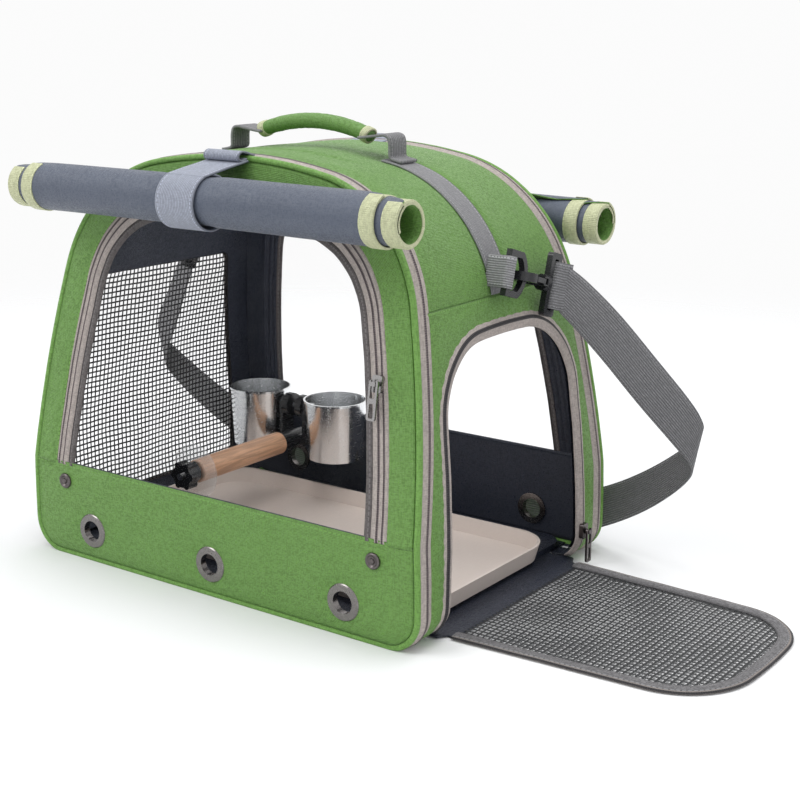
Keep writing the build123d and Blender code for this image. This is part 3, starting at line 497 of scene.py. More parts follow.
def build_plain_weave():
    """Crossing threads with slubs and broad unevenness."""
    tree, given, out = group("Plain weave", {"Vector": None, "Pitch": 0.0012, "Slub": 0.5},
                             ("Height", "Fleck", "Mottle"))
    near = noise_at(tree, given["Vector"], 90.0, 1.0)
    bent = shifted(tree, "SCALE", near["Color"], 0.0006)
    moved = shifted(tree, "ADD", given["Vector"], bent)
    parts = node(tree, "ShaderNodeSeparateXYZ", {0: moved}).outputs
    lines = [waves(tree, parts[i], given["Pitch"]) for i in range(3)]
    weave = calc(tree, "MULTIPLY", calc(tree, "ADD", lines[0], lines[1]),
                 calc(tree, "MULTIPLY_ADD", lines[2], 0.3, 0.7))
    flecks = []
    for scale in ((260.0, 950.0, 260.0), (900.0, 240.0, 900.0)):
        drawn = shifted(tree, "MULTIPLY", moved, scale)
        flecks.append(noise_at(tree, drawn, 1.0, 2.0)["Fac"])
    fleck = calc(tree, "MULTIPLY", calc(tree, "ADD", *flecks), 0.5)
    tree.links.new(ramp(tree, fleck, 0.36, 0.64), out["Fleck"])
    slub = calc(tree, "MULTIPLY", fleck, given["Slub"])
    tree.links.new(calc(tree, "ADD", slub, calc(tree, "MULTIPLY", weave, 0.5)), out["Height"])
    broad = noise_at(tree, given["Vector"], 24.0, 3.0)
    tree.links.new(ramp(tree, broad["Fac"], 0.3, 0.7), out["Mottle"])


def build_webbing_rib():
    """Ribs along a webbing, crossed by picks, with a mask for painted shade in the grooves between the ribs.
    """
    tree, given, out = group("Webbing rib", {"Vector": None, "Rib": 0.0022, "Pick": 0.0011},
                             ("Height", "Groove shade"))
    parts = node(tree, "ShaderNodeSeparateXYZ", {0: given["Vector"]}).outputs
    rib = waves(tree, parts[0], given["Rib"])
    pick = waves(tree, calc(tree, "MULTIPLY_ADD", rib, 0.0004, parts[1]), given["Pick"])
    tree.links.new(calc(tree, "MULTIPLY_ADD", pick, 0.45, rib), out["Height"])
    crossed = calc(tree, "MULTIPLY", rib, calc(tree, "MULTIPLY_ADD", pick, 0.4, 0.6))
    # painted shade: the grooves between ribs and picks become a mask that darkens the colour
    tree.links.new(ramp(tree, crossed, 0.5, 0.05), out["Groove shade"])


def build_square_net():
    """Strands of an open net."""
    tree, given, out = group("Square net", {"Vector": None, "Pitch": 0.004, "Strand": 0.4,
                                            "Wander": 0.0012}, ("Thread", "Height"))
    drift = noise_at(tree, given["Vector"], 60.0, 1.0)
    off = shifted(tree, "SCALE", drift["Color"], given["Wander"])
    moved = shifted(tree, "ADD", given["Vector"], off)
    parts = node(tree, "ShaderNodeSeparateXYZ", {0: moved}).outputs
    strands = []
    for i in range(2):
        cell = calc(tree, "FRACT", calc(tree, "DIVIDE", parts[i], given["Pitch"]))
        strands.append(calc(tree, "ABSOLUTE", calc(tree, "MULTIPLY_ADD", cell, 2.0, -1.0)))
    side = calc(tree, "MAXIMUM", *strands)
    edge = calc(tree, "SUBTRACT", 1.0, given["Strand"])
    tree.links.new(ramp(tree, side, edge, calc(tree, "ADD", edge, 0.05)), out["Thread"])
    tree.links.new(ramp(tree, side, edge, 1.0), out["Height"])


def build_stitch_row():
    """Dashes of one row of stitches."""
    tree, given, out = group("Stitch row", {"Vector": None, "At": 0.002, "Width": 0.0007, "Pitch": 0.0042},
                             ("Thread",))
    parts = node(tree, "ShaderNodeSeparateXYZ", {0: given["Vector"]}).outputs
    gap = calc(tree, "ABSOLUTE", calc(tree, "SUBTRACT", parts[0], given["At"]))
    dash = calc(tree, "GREATER_THAN", waves(tree, parts[1], given["Pitch"]), 0.25)
    thread = ramp(tree, gap, given["Width"], calc(tree, "MULTIPLY", given["Width"], 0.6))
    tree.links.new(calc(tree, "MULTIPLY", dash, thread), out["Thread"])


def build_handling_wear():
    """Worn patches and fine scuffs."""
    tree, given, out = group("Handling wear", {"Vector": None, "Scale": 40.0, "Amount": 0.3},
                             ("Mask", "Scuff"))
    rough = noise_at(tree, given["Vector"], given["Scale"], 5.0, Roughness=0.65)
    tree.links.new(calc(tree, "MULTIPLY", ramp(tree, rough["Fac"], 0.5, 0.75), given["Amount"]), out["Mask"])
    streak = shifted(tree, "MULTIPLY", given["Vector"], (900.0, 60.0, 900.0))
    fine = noise_at(tree, streak, 1.0, 3.0)
    tree.links.new(ramp(tree, fine["Fac"], 0.45, 0.7), out["Scuff"])


def build_groups():
    """Every node group that the finishes share."""
    for build in (build_plain_weave, build_webbing_rib, build_square_net, build_stitch_row,
                  build_handling_wear):
        build()


def start(name, roughness, **plain):
    """New material with a Principled shader whose plain values are set on its own sockets."""
    made = bpy.data.materials.new(name)
    made.use_nodes = True
    tree = made.node_tree
    shader = tree.nodes["Principled BSDF"]
    shader.inputs["Roughness"].default_value = roughness
    for key, value in plain.items():
        shader.inputs[key.replace("_", " ")].default_value = value
    FINISHES[name] = made
    return tree, shader


def where(tree, flat=True):
    """The piece's own layout, or its Object coordinates."""
    return node(tree, "ShaderNodeTexCoord").outputs["UV" if flat else "Object"]


def bump(tree, shader, height, distance):
    """Relief of a finish."""
    made = node(tree, "ShaderNodeBump", {"Height": height, "Distance": distance, "Strength": 1.0})
    tree.links.new(made.outputs[0], shader.inputs["Normal"])


def surface(tree, shader, base, height, relief):
    """Links a finish's colour and relief to its shader."""
    tree.links.new(base, shader.inputs["Base Color"])
    bump(tree, shader, height, relief)


def shade(colour, k):
    """Colour made lighter or darker."""
    return tuple(min(1.0, c * k) for c in colour[:3]) + (1.0,)


def cloth(name, colour, pitch=0.0012, contrast=0.24, flat=True, relief=0.0004, stitch=None, **plain):
    """Woven cloth with flecks, unevenness and an optional row of stitches."""
    tree, shader = start(name, 0.85, **plain)
    at = where(tree, flat)
    weave = use(tree, "Plain weave", Vector=at, Pitch=pitch)
    wear = use(tree, "Handling wear", Vector=at, Scale=30.0, Amount=0.25)
    base = blend_colour(tree, weave["Fleck"], shade(colour, 1 - contrast), shade(colour, 1 + contrast))
    base = blend_colour(tree, calc(tree, "MULTIPLY", weave["Mottle"], 0.35), base, shade(colour, 1.12))
    base = blend_colour(tree, wear["Mask"], base, shade(colour, 0.8))
    height = weave["Height"]
    if stitch:
        for place, thread in stitch:
            row = use(tree, "Stitch row", Vector=at, At=place)["Thread"]
            base = blend_colour(tree, row, base, thread)
            height = calc(tree, "MULTIPLY_ADD", row, 1.2, height)
    tree.links.new(ramp(tree, weave["Fleck"], 2.0, -1.0), shader.inputs["Roughness"])
    surface(tree, shader, base, height, relief)


EDGE_STITCH = 0.0022


def webbing(name, colour, rib=0.0022, width=0.025, **plain):
    """Ribbed webbing with stitched edges and painted shade in the grooves between the ribs."""
    tree, shader = start(name, 0.7, **plain)
    at = where(tree)
    ribs = use(tree, "Webbing rib", Vector=at, Rib=rib)
    weave = use(tree, "Plain weave", Vector=at, Pitch=0.0009)
    base = blend_colour(tree, weave["Fleck"], shade(colour, 0.82), shade(colour, 1.15))
    # painted shade: the grooves are darkened to 0.55 of the webbing colour
    base = blend_colour(tree, ribs["Groove shade"], base, shade(colour, 0.55))
    height = ribs["Height"]
    for place in (EDGE_STITCH, width - EDGE_STITCH):
        row = use(tree, "Stitch row", Vector=at, At=place, Width=0.0006, Pitch=0.003)["Thread"]
        base = blend_colour(tree, row, base, shade(colour, 1.5))
        height = calc(tree, "MULTIPLY_ADD", row, 0.8, height)
    surface(tree, shader, base, height, 0.0005)


def zip_tape(name, tape, coil, middles, tooth=0.0017, half=0.0016):
    """Woven tape with toothed coils at the given distances across it; the teeth carry painted highlights on
    their tops and painted shade between them.
    """
    tree, shader = start(name, 0.7)
    at = where(tree)
    parts = node(tree, "ShaderNodeSeparateXYZ", {0: at}).outputs
    weave = use(tree, "Plain weave", Vector=at, Pitch=0.0008)
    base = blend_colour(tree, weave["Fleck"], shade(tape, 0.8), shade(tape, 1.15))
    height = calc(tree, "MULTIPLY", weave["Height"], 0.3)
    teeth = waves(tree, parts[1], tooth)
    for middle in middles:
        gap = calc(tree, "ABSOLUTE", calc(tree, "SUBTRACT", parts[0], middle))
        mask = ramp(tree, gap, half, half * 0.75)
        # painted light: tooth tops lightened and the gaps between teeth darkened, lit and shaded copies of
        # the coil colour
        lit_and_shaded_teeth = blend_colour(tree, teeth, shade(coil, 0.45), shade(coil, 1.25))
        base = blend_colour(tree, mask, base, lit_and_shaded_teeth)
        groove = ramp(tree, gap, 0.0005, 0.0001)
        base = blend_colour(tree, groove, base, shade(coil, 0.3))
        height = calc(tree, "ADD", height,
                      calc(tree, "MULTIPLY", mask, calc(tree, "SUBTRACT", teeth, groove)))
    surface(tree, shader, base, height, 0.0006)


def net(name, colour, pitch, strand):
    """Open square net that shows what is behind it."""
    tree, shader = start(name, 0.6)
    at = where(tree)
    grid = use(tree, "Square net", Vector=at, Pitch=pitch, Strand=strand)
    weave = use(tree, "Plain weave", Vector=at, Pitch=0.0007)
    base = blend_colour(tree, weave["Fleck"], shade(colour, 0.7), shade(colour, 1.5))
    tree.links.new(grid["Thread"], shader.inputs["Alpha"])
    surface(tree, shader, base, grid["Height"], 0.0004)


def moulded(name, colour, roughness, grain=0.00006, scale=900.0, wear=0.15, **plain):
    """Moulded plastic or plated metal with a fine grain and scuffs, on Object coordinates."""
    tree, shader = start(name, roughness, **plain)
    at = where(tree, False)
    worn = use(tree, "Handling wear", Vector=at, Scale=70.0, Amount=wear)
    fine = noise_at(tree, at, scale, 2.0)
    base = blend_colour(tree, worn["Mask"], shade(colour, 1.0), shade(colour, 1.5))
    base = blend_colour(tree, calc(tree, "MULTIPLY", fine["Fac"], 0.25), base, shade(colour, 0.75))
    rough = calc(tree, "MULTIPLY_ADD", worn["Scuff"], 0.12, roughness - 0.04)
    tree.links.new(rough, shader.inputs["Roughness"])
    surface(tree, shader, base, fine["Fac"], grain)


def wood(name, colour):
    """Turned hardwood with long grain along Y."""
    tree, shader = start(name, 0.45, Coat_Weight=0.15)
    at = where(tree, False)
    long_grain = shifted(tree, "MULTIPLY", at, (320.0, 22.0, 320.0))
    rings = noise_at(tree, long_grain, 1.0, 4.0, Distortion=0.6)
    pores = shifted(tree, "MULTIPLY", at, (2600.0, 160.0, 2600.0))
    pore = noise_at(tree, pores, 1.0, 2.0)["Fac"]
    base = blend_colour(tree, ramp(tree, rings["Fac"], 0.35, 0.65), shade(colour, 0.78), shade(colour, 1.15))
    base = blend_colour(tree, calc(tree, "MULTIPLY", ramp(tree, pore, 0.6, 0.72), 0.5), base,
                        shade(colour, 0.5))
    surface(tree, shader, base, calc(tree, "ADD", rings["Fac"], pore), 0.0002)


def clear(name, colour, roughness, opacity):
    """Thin clear plastic: mostly see-through, with gloss that grows at a glance; the rise in opacity at a
    glance also shows the film's pale colour as a painted reflection.
    """
    tree, shader = start(name, roughness, Base_Color=colour, IOR=1.45)
    at = where(tree, False)
    ripple = noise_at(tree, at, 16.0, 2.0)
    haze = use(tree, "Handling wear", Vector=at, Scale=26.0, Amount=0.015)
    # partly real gloss, partly painted reflection: at glancing angles the film turns more opaque, so its pale
    # base colour shows along with its gloss
    glance_painted_reflection = node(tree, "ShaderNodeLayerWeight", {"Blend": 0.25}).outputs["Fresnel"]
    seen = calc(tree, "ADD", calc(tree, "MULTIPLY_ADD", glance_painted_reflection, 0.12, opacity), haze["Mask"], clamp=True)
    tree.links.new(seen, shader.inputs["Alpha"])
    bump(tree, shader, ripple["Fac"], 0.002)


def build_finishes(tint):
    """Every finish of the carrier, from the panel's colours."""
    green, pale = tuple(tint.panels), tuple(tint.bindings)
    slate, navy = tuple(tint.shades), tuple(tint.lining)
    grey, taupe = tuple(tint.webbing), tuple(tint.zip_tape)
    thread = shade(green, 1.4)
    cloth("Green heather", green, Sheen_Weight=0.05)
    cloth("Green band", green, stitch=((0.0035, thread),), Sheen_Weight=0.05)
    cloth("Green frame", green, stitch=((0.0016, thread),), Sheen_Weight=0.05)
    cloth("Green piping", shade(green, 1.2), pitch=0.0009, relief=0.0003)
    cloth("Pale binding", pale, pitch=0.0014, contrast=0.15, stitch=((0.0022, shade(pale, 1.4)),))
    cloth("Slate shade cloth", slate, pitch=0.0007, contrast=0.08, relief=0.00012, Sheen_Weight=0.1)
    cloth("Navy lining", navy, pitch=0.0008, contrast=0.2, relief=0.0002)
    cloth("Navy base cloth", navy, pitch=0.0009, contrast=0.25, flat=False, relief=0.0002)
    cloth("Grey binding", (0.14, 0.135, 0.14), pitch=0.0011, contrast=0.3,
          stitch=((0.003, (0.3, 0.3, 0.31, 1)),))
    cloth("Taupe edge", (0.105, 0.092, 0.09), pitch=0.0011, contrast=0.3,
          stitch=((0.0026, (0.2, 0.18, 0.18, 1)),))
    webbing("Strap webbing", grey, rib=0.0021, width=0.038)
    webbing("Pale webbing", (0.44, 0.47, 0.56), rib=0.0016, width=0.038)
    webbing("Roof webbing", shade(grey, 1.25), rib=0.0018, width=0.025)
    webbing("Loop webbing", grey, rib=0.0022, width=0.022)
    coil = (0.2, 0.16, 0.165, 1)
    zip_tape("Edge zip", taupe, coil, (0.0075,))
    zip_tape("Window zip", taupe, coil, (0.0048, 0.0102), half=0.0011)
    zip_tape("Doorway zip", taupe, (0.06, 0.055, 0.06, 1), (0.0058,), half=0.0019)
    zip_tape("Door zip", shade(taupe, 0.55), (0.07, 0.065, 0.07, 1), (0.0022,), half=0.0014)
    net("Black window net", (0.012, 0.012, 0.014), 0.0047, 0.36)
    net("Black door net", (0.012, 0.013, 0.015), 0.0050, 0.42)
    moulded("Black plastic", (0.012, 0.0125, 0.015), 0.3)
    moulded("Glossy black plastic", (0.008, 0.008, 0.01), 0.16, Coat_Weight=0.3)
    moulded("Dark nickel", (0.13, 0.115, 0.115), 0.32, Metallic=1.0)
    moulded("Eyelet nickel", (0.22, 0.205, 0.2), 0.24, Metallic=1.0)
    moulded("Worn silver", (0.36, 0.35, 0.35), 0.3, Metallic=1.0)
    moulded("Polished steel", (0.86, 0.87, 0.88), 0.2, grain=0.00001, scale=200.0, wear=0.05, Metallic=1.0)
    moulded("Cream tray", (0.7, 0.61, 0.55), 0.4, grain=0.0001, scale=500.0, wear=0.05)
    wood("Turned dowel", (0.6, 0.34, 0.2, 1))
    clear("Window film", (0.95, 0.97, 0.97, 1.0), 0.12, 0.0)
    clear("Clear washer", (0.9, 0.92, 0.92, 1.0), 0.1, 0.16)


# ---- sizes and colours a user would change ----
class CarrierSizes(bpy.types.PropertyGroup):
    """Sizes of the sewn pieces."""

    panel_swell: FloatProperty(name="Panel swell", description="How far padded panels stand out, in mm",
                               default=1.6, min=0, max=5)
    frame_swell: FloatProperty(name="Frame swell", description="How far the window frame stands out, in mm",
                               default=1.5, min=0, max=4)
    crumple: FloatProperty(name="Crumple", description="Depth of soft unevenness in the cloth, in mm",
                           default=1.1, min=0, max=4)
    piping_radius: FloatProperty(name="Piping radius", description="Radius of the corded edge, in mm",
                                 default=2.5, min=1, max=4)
    roll_turns: FloatProperty(name="Shade turns", description="Turns of cloth in a rolled shade",
                              default=3.1, min=2, max=4)
    roll_pitch: FloatProperty(name="Shade turn spacing", description="How much each turn is smaller, in mm",
                              default=1.9, min=1, max=3)
    grip_radius: FloatProperty(name="Grip radius", description="Radius of the padded grip, in mm",
                               default=7.9, min=5, max=9)


class CarrierColours(bpy.types.PropertyGroup):
    """Colours of the main cloths."""

    panels: FloatVectorProperty(name="Panels", description="Heathered panels", subtype="COLOR", size=4,
                                min=0, max=1, default=(0.125, 0.27, 0.05, 1))
    bindings: FloatVectorProperty(name="Pale bindings", description="Bindings of shades and grip",
                                  subtype="COLOR", size=4, min=0, max=1, default=(0.55, 0.57, 0.35, 1))
    shades: FloatVectorProperty(name="Shades", description="Rolled shades", subtype="COLOR", size=4, min=0,
                                max=1, default=(0.08, 0.096, 0.133, 1))
    lining: FloatVectorProperty(name="Lining", description="Lining and base", subtype="COLOR", size=4,
                                min=0, max=1, default=(0.016, 0.02, 0.034, 1))
    webbing: FloatVectorProperty(name="Webbing", description="Straps and loops", subtype="COLOR", size=4,
                                 min=0, max=1, default=(0.262, 0.26, 0.268, 1))
    zip_tape: FloatVectorProperty(name="Zipper tape", description="Tape beside the zipper coils",
                                  subtype="COLOR", size=4, min=0, max=1, default=(0.44, 0.385, 0.355, 1))


def sizes():
    """The sizes in use."""
    return bpy.context.scene.carrier_sizes


class Piece:
    """What the carrier's operators have in common."""

    bl_options = {"REGISTER", "UNDO"}

    def execute(self, context):
        self.build(sizes())
        return {"FINISHED"}


class CARRIER_OT_finishes(Piece, bpy.types.Operator):
    """Makes the node groups and materials"""

    bl_idname = "carrier.finishes"
    bl_label = "Finishes"

    def build(self, size):
        build_groups()
        build_finishes(bpy.context.scene.carrier_colours)


FACES = (("front", -1), ("back", 1))
ENDS = (("right", 1), ("left", -1))
CIRCLE_STEPS = 40


def ring_line(x, z, r):
    """Circle as an outline."""
    return arc_points((x, z), r, 0, 2 * pi, CIRCLE_STEPS)[:-1]


class CARRIER_OT_faces(Piece, bpy.types.Operator):
    """Lower bands and window frames of the two faces"""

    bl_idname = "carrier.faces"
    bl_label = "Face panels"

    def build(self, size):
        holes = [ring_line(x, EYELET_Z, EYELET_HOLE) for x in EYELETS]
        for name, side in FACES:
            def flat(u, v):
                z = PIPING_IN + (BAND_SEAM - PIPING_IN) * v
                return (2 * u - 1) * band_half(z), z

            def place(u, v, at=None):
                x, z = at or flat(u, v)
                edge = min((1 - abs(2 * u - 1)) * 190, z - PIPING_IN, BAND_SEAM - z)
                near = min(hypot(x - e, z - EYELET_Z) for e in EYELETS) - EYELET_HOLE
                soft = fade(edge, 9) * fade(near, 12)
                lift = 0.25 + soft * (size.panel_swell * 0.8 + size.crumple * crumple(x, side * 40, z, 46))
                lift += 0.5 * fade(z, BAND_TOP - 4) * (1 - fade(BAND_SEAM - z, 3.5))
                return x, side * (face_out(z) + lift), z

            bm = patch(150, 34, place, lambda u, v: (BAND_SEAM * (1 - v), 380 * u), holes, flat, 4.0)
            settle(f"{name}_band_cloth", bm, "Green band", (f"{name}_panel",), thick=1.9,
                   lined="Navy lining")

            top = rim_at_z(BAND_TOP - 1)

            def frame_place(u, v):
                s = top * (2 * u - 1)
                inset = PIPING_IN + (FRAME_SEAM - PIPING_IN) * v
                x, z = rim(s, inset)
                soft = sin(pi * min(max(v, 0), 1)) ** 0.6
                uneven = 0.7 * size.crumple * crumple(x, side * 90, z, 30, 3.0)
                lift = 0.1 + soft * (size.frame_swell + uneven) - 0.5 * (1 - fade(FRAME_SEAM - inset, 2.2))
                return x, side * (face_out(z) + lift), z

            bm = patch(260, 12, frame_place, lambda u, v: (23.5 * (1 - v), top * 2 * u))
            settle(f"{name}_frame_cloth", bm, "Green frame", thick=1.7, lined="Navy lining")


# sections of tapes and bindings: how far in from the edge, then how high
EDGE_ZIP_SECTION = [(2.6, 0.1), (4.5, 0.5), (6.6, 0.6), (7.6, 1.5), (9.2, 2.1), (10.4, 2.1), (12.0, 1.5),
                    (13.0, 0.6), (15.4, 0.6), (17.4, 0.2)]
WINDOW_ZIP_SECTION = [(26.2, 0.3), (28.6, 0.7), (29.6, 1.5), (31.2, 1.7), (32.2, 0.9), (34.2, 0.8),
                      (35.2, 1.6), (36.8, 1.7), (37.8, 0.8), (41.4, 0.6)]
WINDOW_EDGE_SECTION = [(41.4, 0.0), (42.2, 0.6), (44.0, 1.0), (46.2, 0.9), (47.6, 0.2), (47.8, -0.8)]
LEFT_EDGE_SECTION = [(-2.2, 0.1), (-1.2, 1.1), (1.4, 1.5), (4.0, 1.3), (5.6, 0.9), (6.8, -0.2)]
DOORWAY_ZIP_SECTION = [(-2.4, 0.1), (-1.0, 0.9), (1.6, 1.0), (2.6, 1.9), (4.4, 2.2), (5.6, 1.6), (6.4, 0.8),
                       (9.0, 0.6), (10.6, -0.4), (10.9, -1.6)]
DOOR_EDGE_SECTION = [(0.6, -1.2), (0.0, 0.0), (0.6, 1.2), (3.0, 1.7), (6.4, 1.7), (8.8, 1.2),
                     (LEAF_EDGE, 0.0), (8.8, -1.1), (3.0, -1.3)]
DOOR_ZIP_SECTION = [(-1.6, -0.9), (-2.6, 0.0), (-1.6, 0.9), (0.4, 1.1), (1.2, 0.0), (0.4, -1.0)]
CORD_SIDES, BASE_STEPS, RIM_STEPS, FLAT_STEPS = 14, 60, 300, 420


class CARRIER_OT_edges(Piece, bpy.types.Operator):
    """Corded edges and the zippers round the ends"""

    bl_idname = "carrier.edges"
    bl_label = "Piping and edge zippers"

    def build(self, size):
        r = size.piping_radius
        loop = [RIM * (2 * i / RIM_STEPS - 1) for i in range(RIM_STEPS + 1)]
        foot = ARCS[-1][0][0]
        base = [RIM + foot * 2 * i / BASE_STEPS for i in range(1, BASE_STEPS)]
        line = [rim(s) for s in loop] + [(foot - (s - RIM), 0.0) for s in base]
        stations = loop + base
        ring = [(r * cos(2 * pi * k / CORD_SIDES), r * sin(2 * pi * k / CORD_SIDES))
                for k in range(CORD_SIDES)]
        flat = [FLAT_S * (2 * i / FLAT_STEPS - 1) for i in range(FLAT_STEPS + 1)]
        for name, side in FACES:
            def place(i, across, lift):
                s = stations[i]
                low = PIPING_AXIS + 0.12 * crumple(s, side * 50, 0, 14)
                if s <= RIM:
                    x, z = rim(s, low - across)
                else:
                    x, z = foot - (s - RIM), low - across
                middle = max(z, 0.0)
                return x, side * (face_out(middle) - PIPING_AXIS + lift), max(z, 0.05)

            bm = strip(line, ring, place, closed=True, tube=True)
            settle(f"{name}_corded_edge", bm, "Green piping", (f"{name}_piping",),
                   closed=True)

            def zip_place(i, across, lift):
                s = flat[i]
                x, z = rim(s, -lift - 0.1 * crumple(s, side * 70, 0, 18))
                return x, side * (face_out(max(z, 0)) - across), z

            bm = strip([rim(s) for s in flat], EDGE_ZIP_SECTION, zip_place)
            settle(f"{name}_edge_zip", bm, "Edge zip", ("edge_zipper_tapes",), thick=1.2,
                   lined="Navy lining")


END_ROWS, DOORWAY_STEPS, OPENING_STEPS, HOLE_HEM = 400, 160, 260, 0.5
# a soft crease that crosses the roof panel, and the flat ground under the side tapes
CREASE_Y, CREASE_SLANT, CREASE_HALF, CREASE_DEPTH = -38.0, 0.1, 5.0, 0.9
CREASE_MIDDLE, CREASE_REACH, CREASE_FADE = -20.0, 120.0, 60.0
UNDER_TAPE_HALF, UNDER_TAPE_FROM = 18.0, 62.0


class CARRIER_OT_ends(Piece, bpy.types.Operator):
    """End panels, roof panel and the stitched seams between them"""

    bl_idname = "carrier.ends"
    bl_label = "End and roof panels"

    def build(self, size):
        low, high = SEAM_S, FLAT_S
        outlines = {"right": leaf(HOLE_HEM, DOOR_FOOT - 8, DOORWAY_STEPS),
                    "left": left_opening(HOLE_HEM, OPENING_STEPS)}
        for name, way in ENDS:
            hole = outlines[name]
            table = [rim(low + (high - low) * k / END_ROWS)[1] for k in range(END_ROWS + 1)]

            def station(z):
                if z >= SEAM_Z:
                    return low
                return bisect(low, RIM, lambda s: rim(s)[1] < z)

            def flat(u, v):
                s = low + (high - low) * v
                z = table[min(int(v * END_ROWS + 0.5), END_ROWS)]
                if s > RIM:
                    z = -(s - RIM)
                return (2 * u - 1) * end_reach(z), z

            def place(u, v, at=None):
                y, z = at or flat(u, v)
                s = station(z) if at else low + (high - low) * v
                edge = min(end_reach(z) - abs(y), s - low)
                hem = min(hypot(y - a, z - b) for a, b in hole[::3])
                soft = fade(edge, 12) * fade(hem, 14)
                lift = 0.2 + soft * (size.panel_swell + size.crumple * crumple(y, z, way * 30, 55, 1.0))
                lift += 0.5 * (1 - fade(s - low, 4)) * fade(s - low + 2, 2)
                x, up = rim(s, -lift)
                return way * x, y, up

            bm = patch(96, 92, place, lambda u, v: ((high - low) * v, 250 * u), (hole,), flat, 4.0)
            settle(f"{name}_end_cloth", bm, "Green frame", (f"{name}_end_panel",),
                   thick=1.8, lined="Navy lining")

        def roof(u, v):
            s = SEAM_S * (2 * u - 1) * 1.004
            z0 = rim(s)[1]
            y = (2 * v - 1) * end_reach(z0)
            edge = min(end_reach(z0) - abs(y), SEAM_S - abs(s))
            under_tape = fade(UNDER_TAPE_HALF - abs(y), 5) * fade(abs(s) - UNDER_TAPE_FROM, 12)
            soft = fade(edge, 14) * (1 - under_tape)
            lift = 0.15 + soft * (size.panel_swell + size.crumple * 1.3 * crumple(s, y, 0, 60, 5.0))
            off = (y - CREASE_Y + CREASE_SLANT * s) / CREASE_HALF
            along = fade(CREASE_REACH - abs(s - CREASE_MIDDLE), CREASE_FADE)
            lift -= CREASE_DEPTH * soft * max(0.0, 1 - off * off) * along
            x, z = rim(s, -lift)
            return x, y, z

        bm = patch(150, 70, roof, lambda u, v: (SEAM_S * 2 * u, 250 * v))
        settle("roof_cloth", bm, "Green heather", ("top_panel",), thick=1.8)


class CARRIER_OT_windows(Piece, bpy.types.Operator):
    """Window zippers, edges and clear films, and the net at the left end"""

    bl_idname = "carrier.windows"
    bl_label = "Windows"

    def build(self, size):
        top = rim_at_z(BAND_TOP)
        stations = [top * (2 * i / 360 - 1) for i in range(361)]
        for name, side in FACES:
            put = on_face(side)

            def place(i, across, lift):
                s = stations[i]
                x, z = rim(s, across + 0.35 * crumple(s, side * 20, 0, 22))
                return put(x, z, lift - 0.2 + 0.25 * crumple(s, across, side * 9, 26))

            line = [rim(s) for s in stations]
            bm = strip(line, WINDOW_ZIP_SECTION, place)
            settle(f"{name}_window_zip", bm, "Window zip", ("window_zipper_tapes",),
                   thick=1.2, lined="Navy lining")
            bm = strip(line, WINDOW_EDGE_SECTION, place)
            settle(f"{name}_window_edge", bm, "Taupe edge", (f"{name}_window_binding",),
                   thick=1.2)

            def film(u, v):
                x, z = rim(top * (2 * u - 1), FILM_IN)
                bx = (2 * u - 1) * half_at(BAND_TOP, FILM_IN)
                x, z = x + (bx - x) * v, z + (BAND_TOP - 1 - z) * v
                wave = 0.9 * crumple(x, 0, z, 70, 7.0 + side) * fade(v, 0.1) * fade(1 - v, 0.1)
                return x, side * (face_out(z) - 1.0 + wave), z

            bm = patch(120, 40, film, lambda u, v: (340 * u, 220 * v))
            settle(f"{name}_film", bm, "Window film", (f"{name}_window_film",))

        edge = left_opening(0.0, 300)
        normals = across_of(edge, True)
        put = on_end(-1)

        def left_place(i, across, lift):
            (y, z), (ny, nz) = edge[i], normals[i]
            return put(y - ny * across, z - nz * across, lift + 0.3 * crumple(y, z, 0, 16))

        bm = strip(edge, LEFT_EDGE_SECTION, left_place, closed=True)
        settle("left_window_edge", bm, "Taupe edge", ("left_window_binding",), thick=1.4)

        def sagging(y, z, v):
            return put(y, z, 3.2 * crumple(y, z, 4, 62, 2.0) * fade(1 - v, 0.12) - 1.4)

        bm = stretch_net(left_opening(LEFT_EDGE - 0.6, 180), LEFT_NET_MIDDLE, 44, sagging)
        lay_flat(bm, 1, 2)
        settle("left_net", bm, "Black window net", ("left_window_mesh",))


def stretch_net(outline, middle, rings, place):
    """Net from the middle height out to its outline: place(y, z, v) gives each point, v is 1 at the edge."""
    count = len(outline)

    def spread(u, v):
        y, z = outline[int(round(u * count)) % count]
        return place(y * v, middle + (z - middle) * v, v)

    bm = patch(count, rings, spread, lambda u, v: (0, 0))
    bmesh.ops.remove_doubles(bm, verts=bm.verts, dist=0.01)
    return bm


def lay_flat(bm, a, b):
    """Layout of a nearly flat piece from two of its own coordinates."""
    layer = bm.loops.layers.uv.active
    for f in bm.faces:
        for loop in f.loops:
            loop[layer].uv = (loop.vert.co[a] * MM, loop.vert.co[b] * MM)


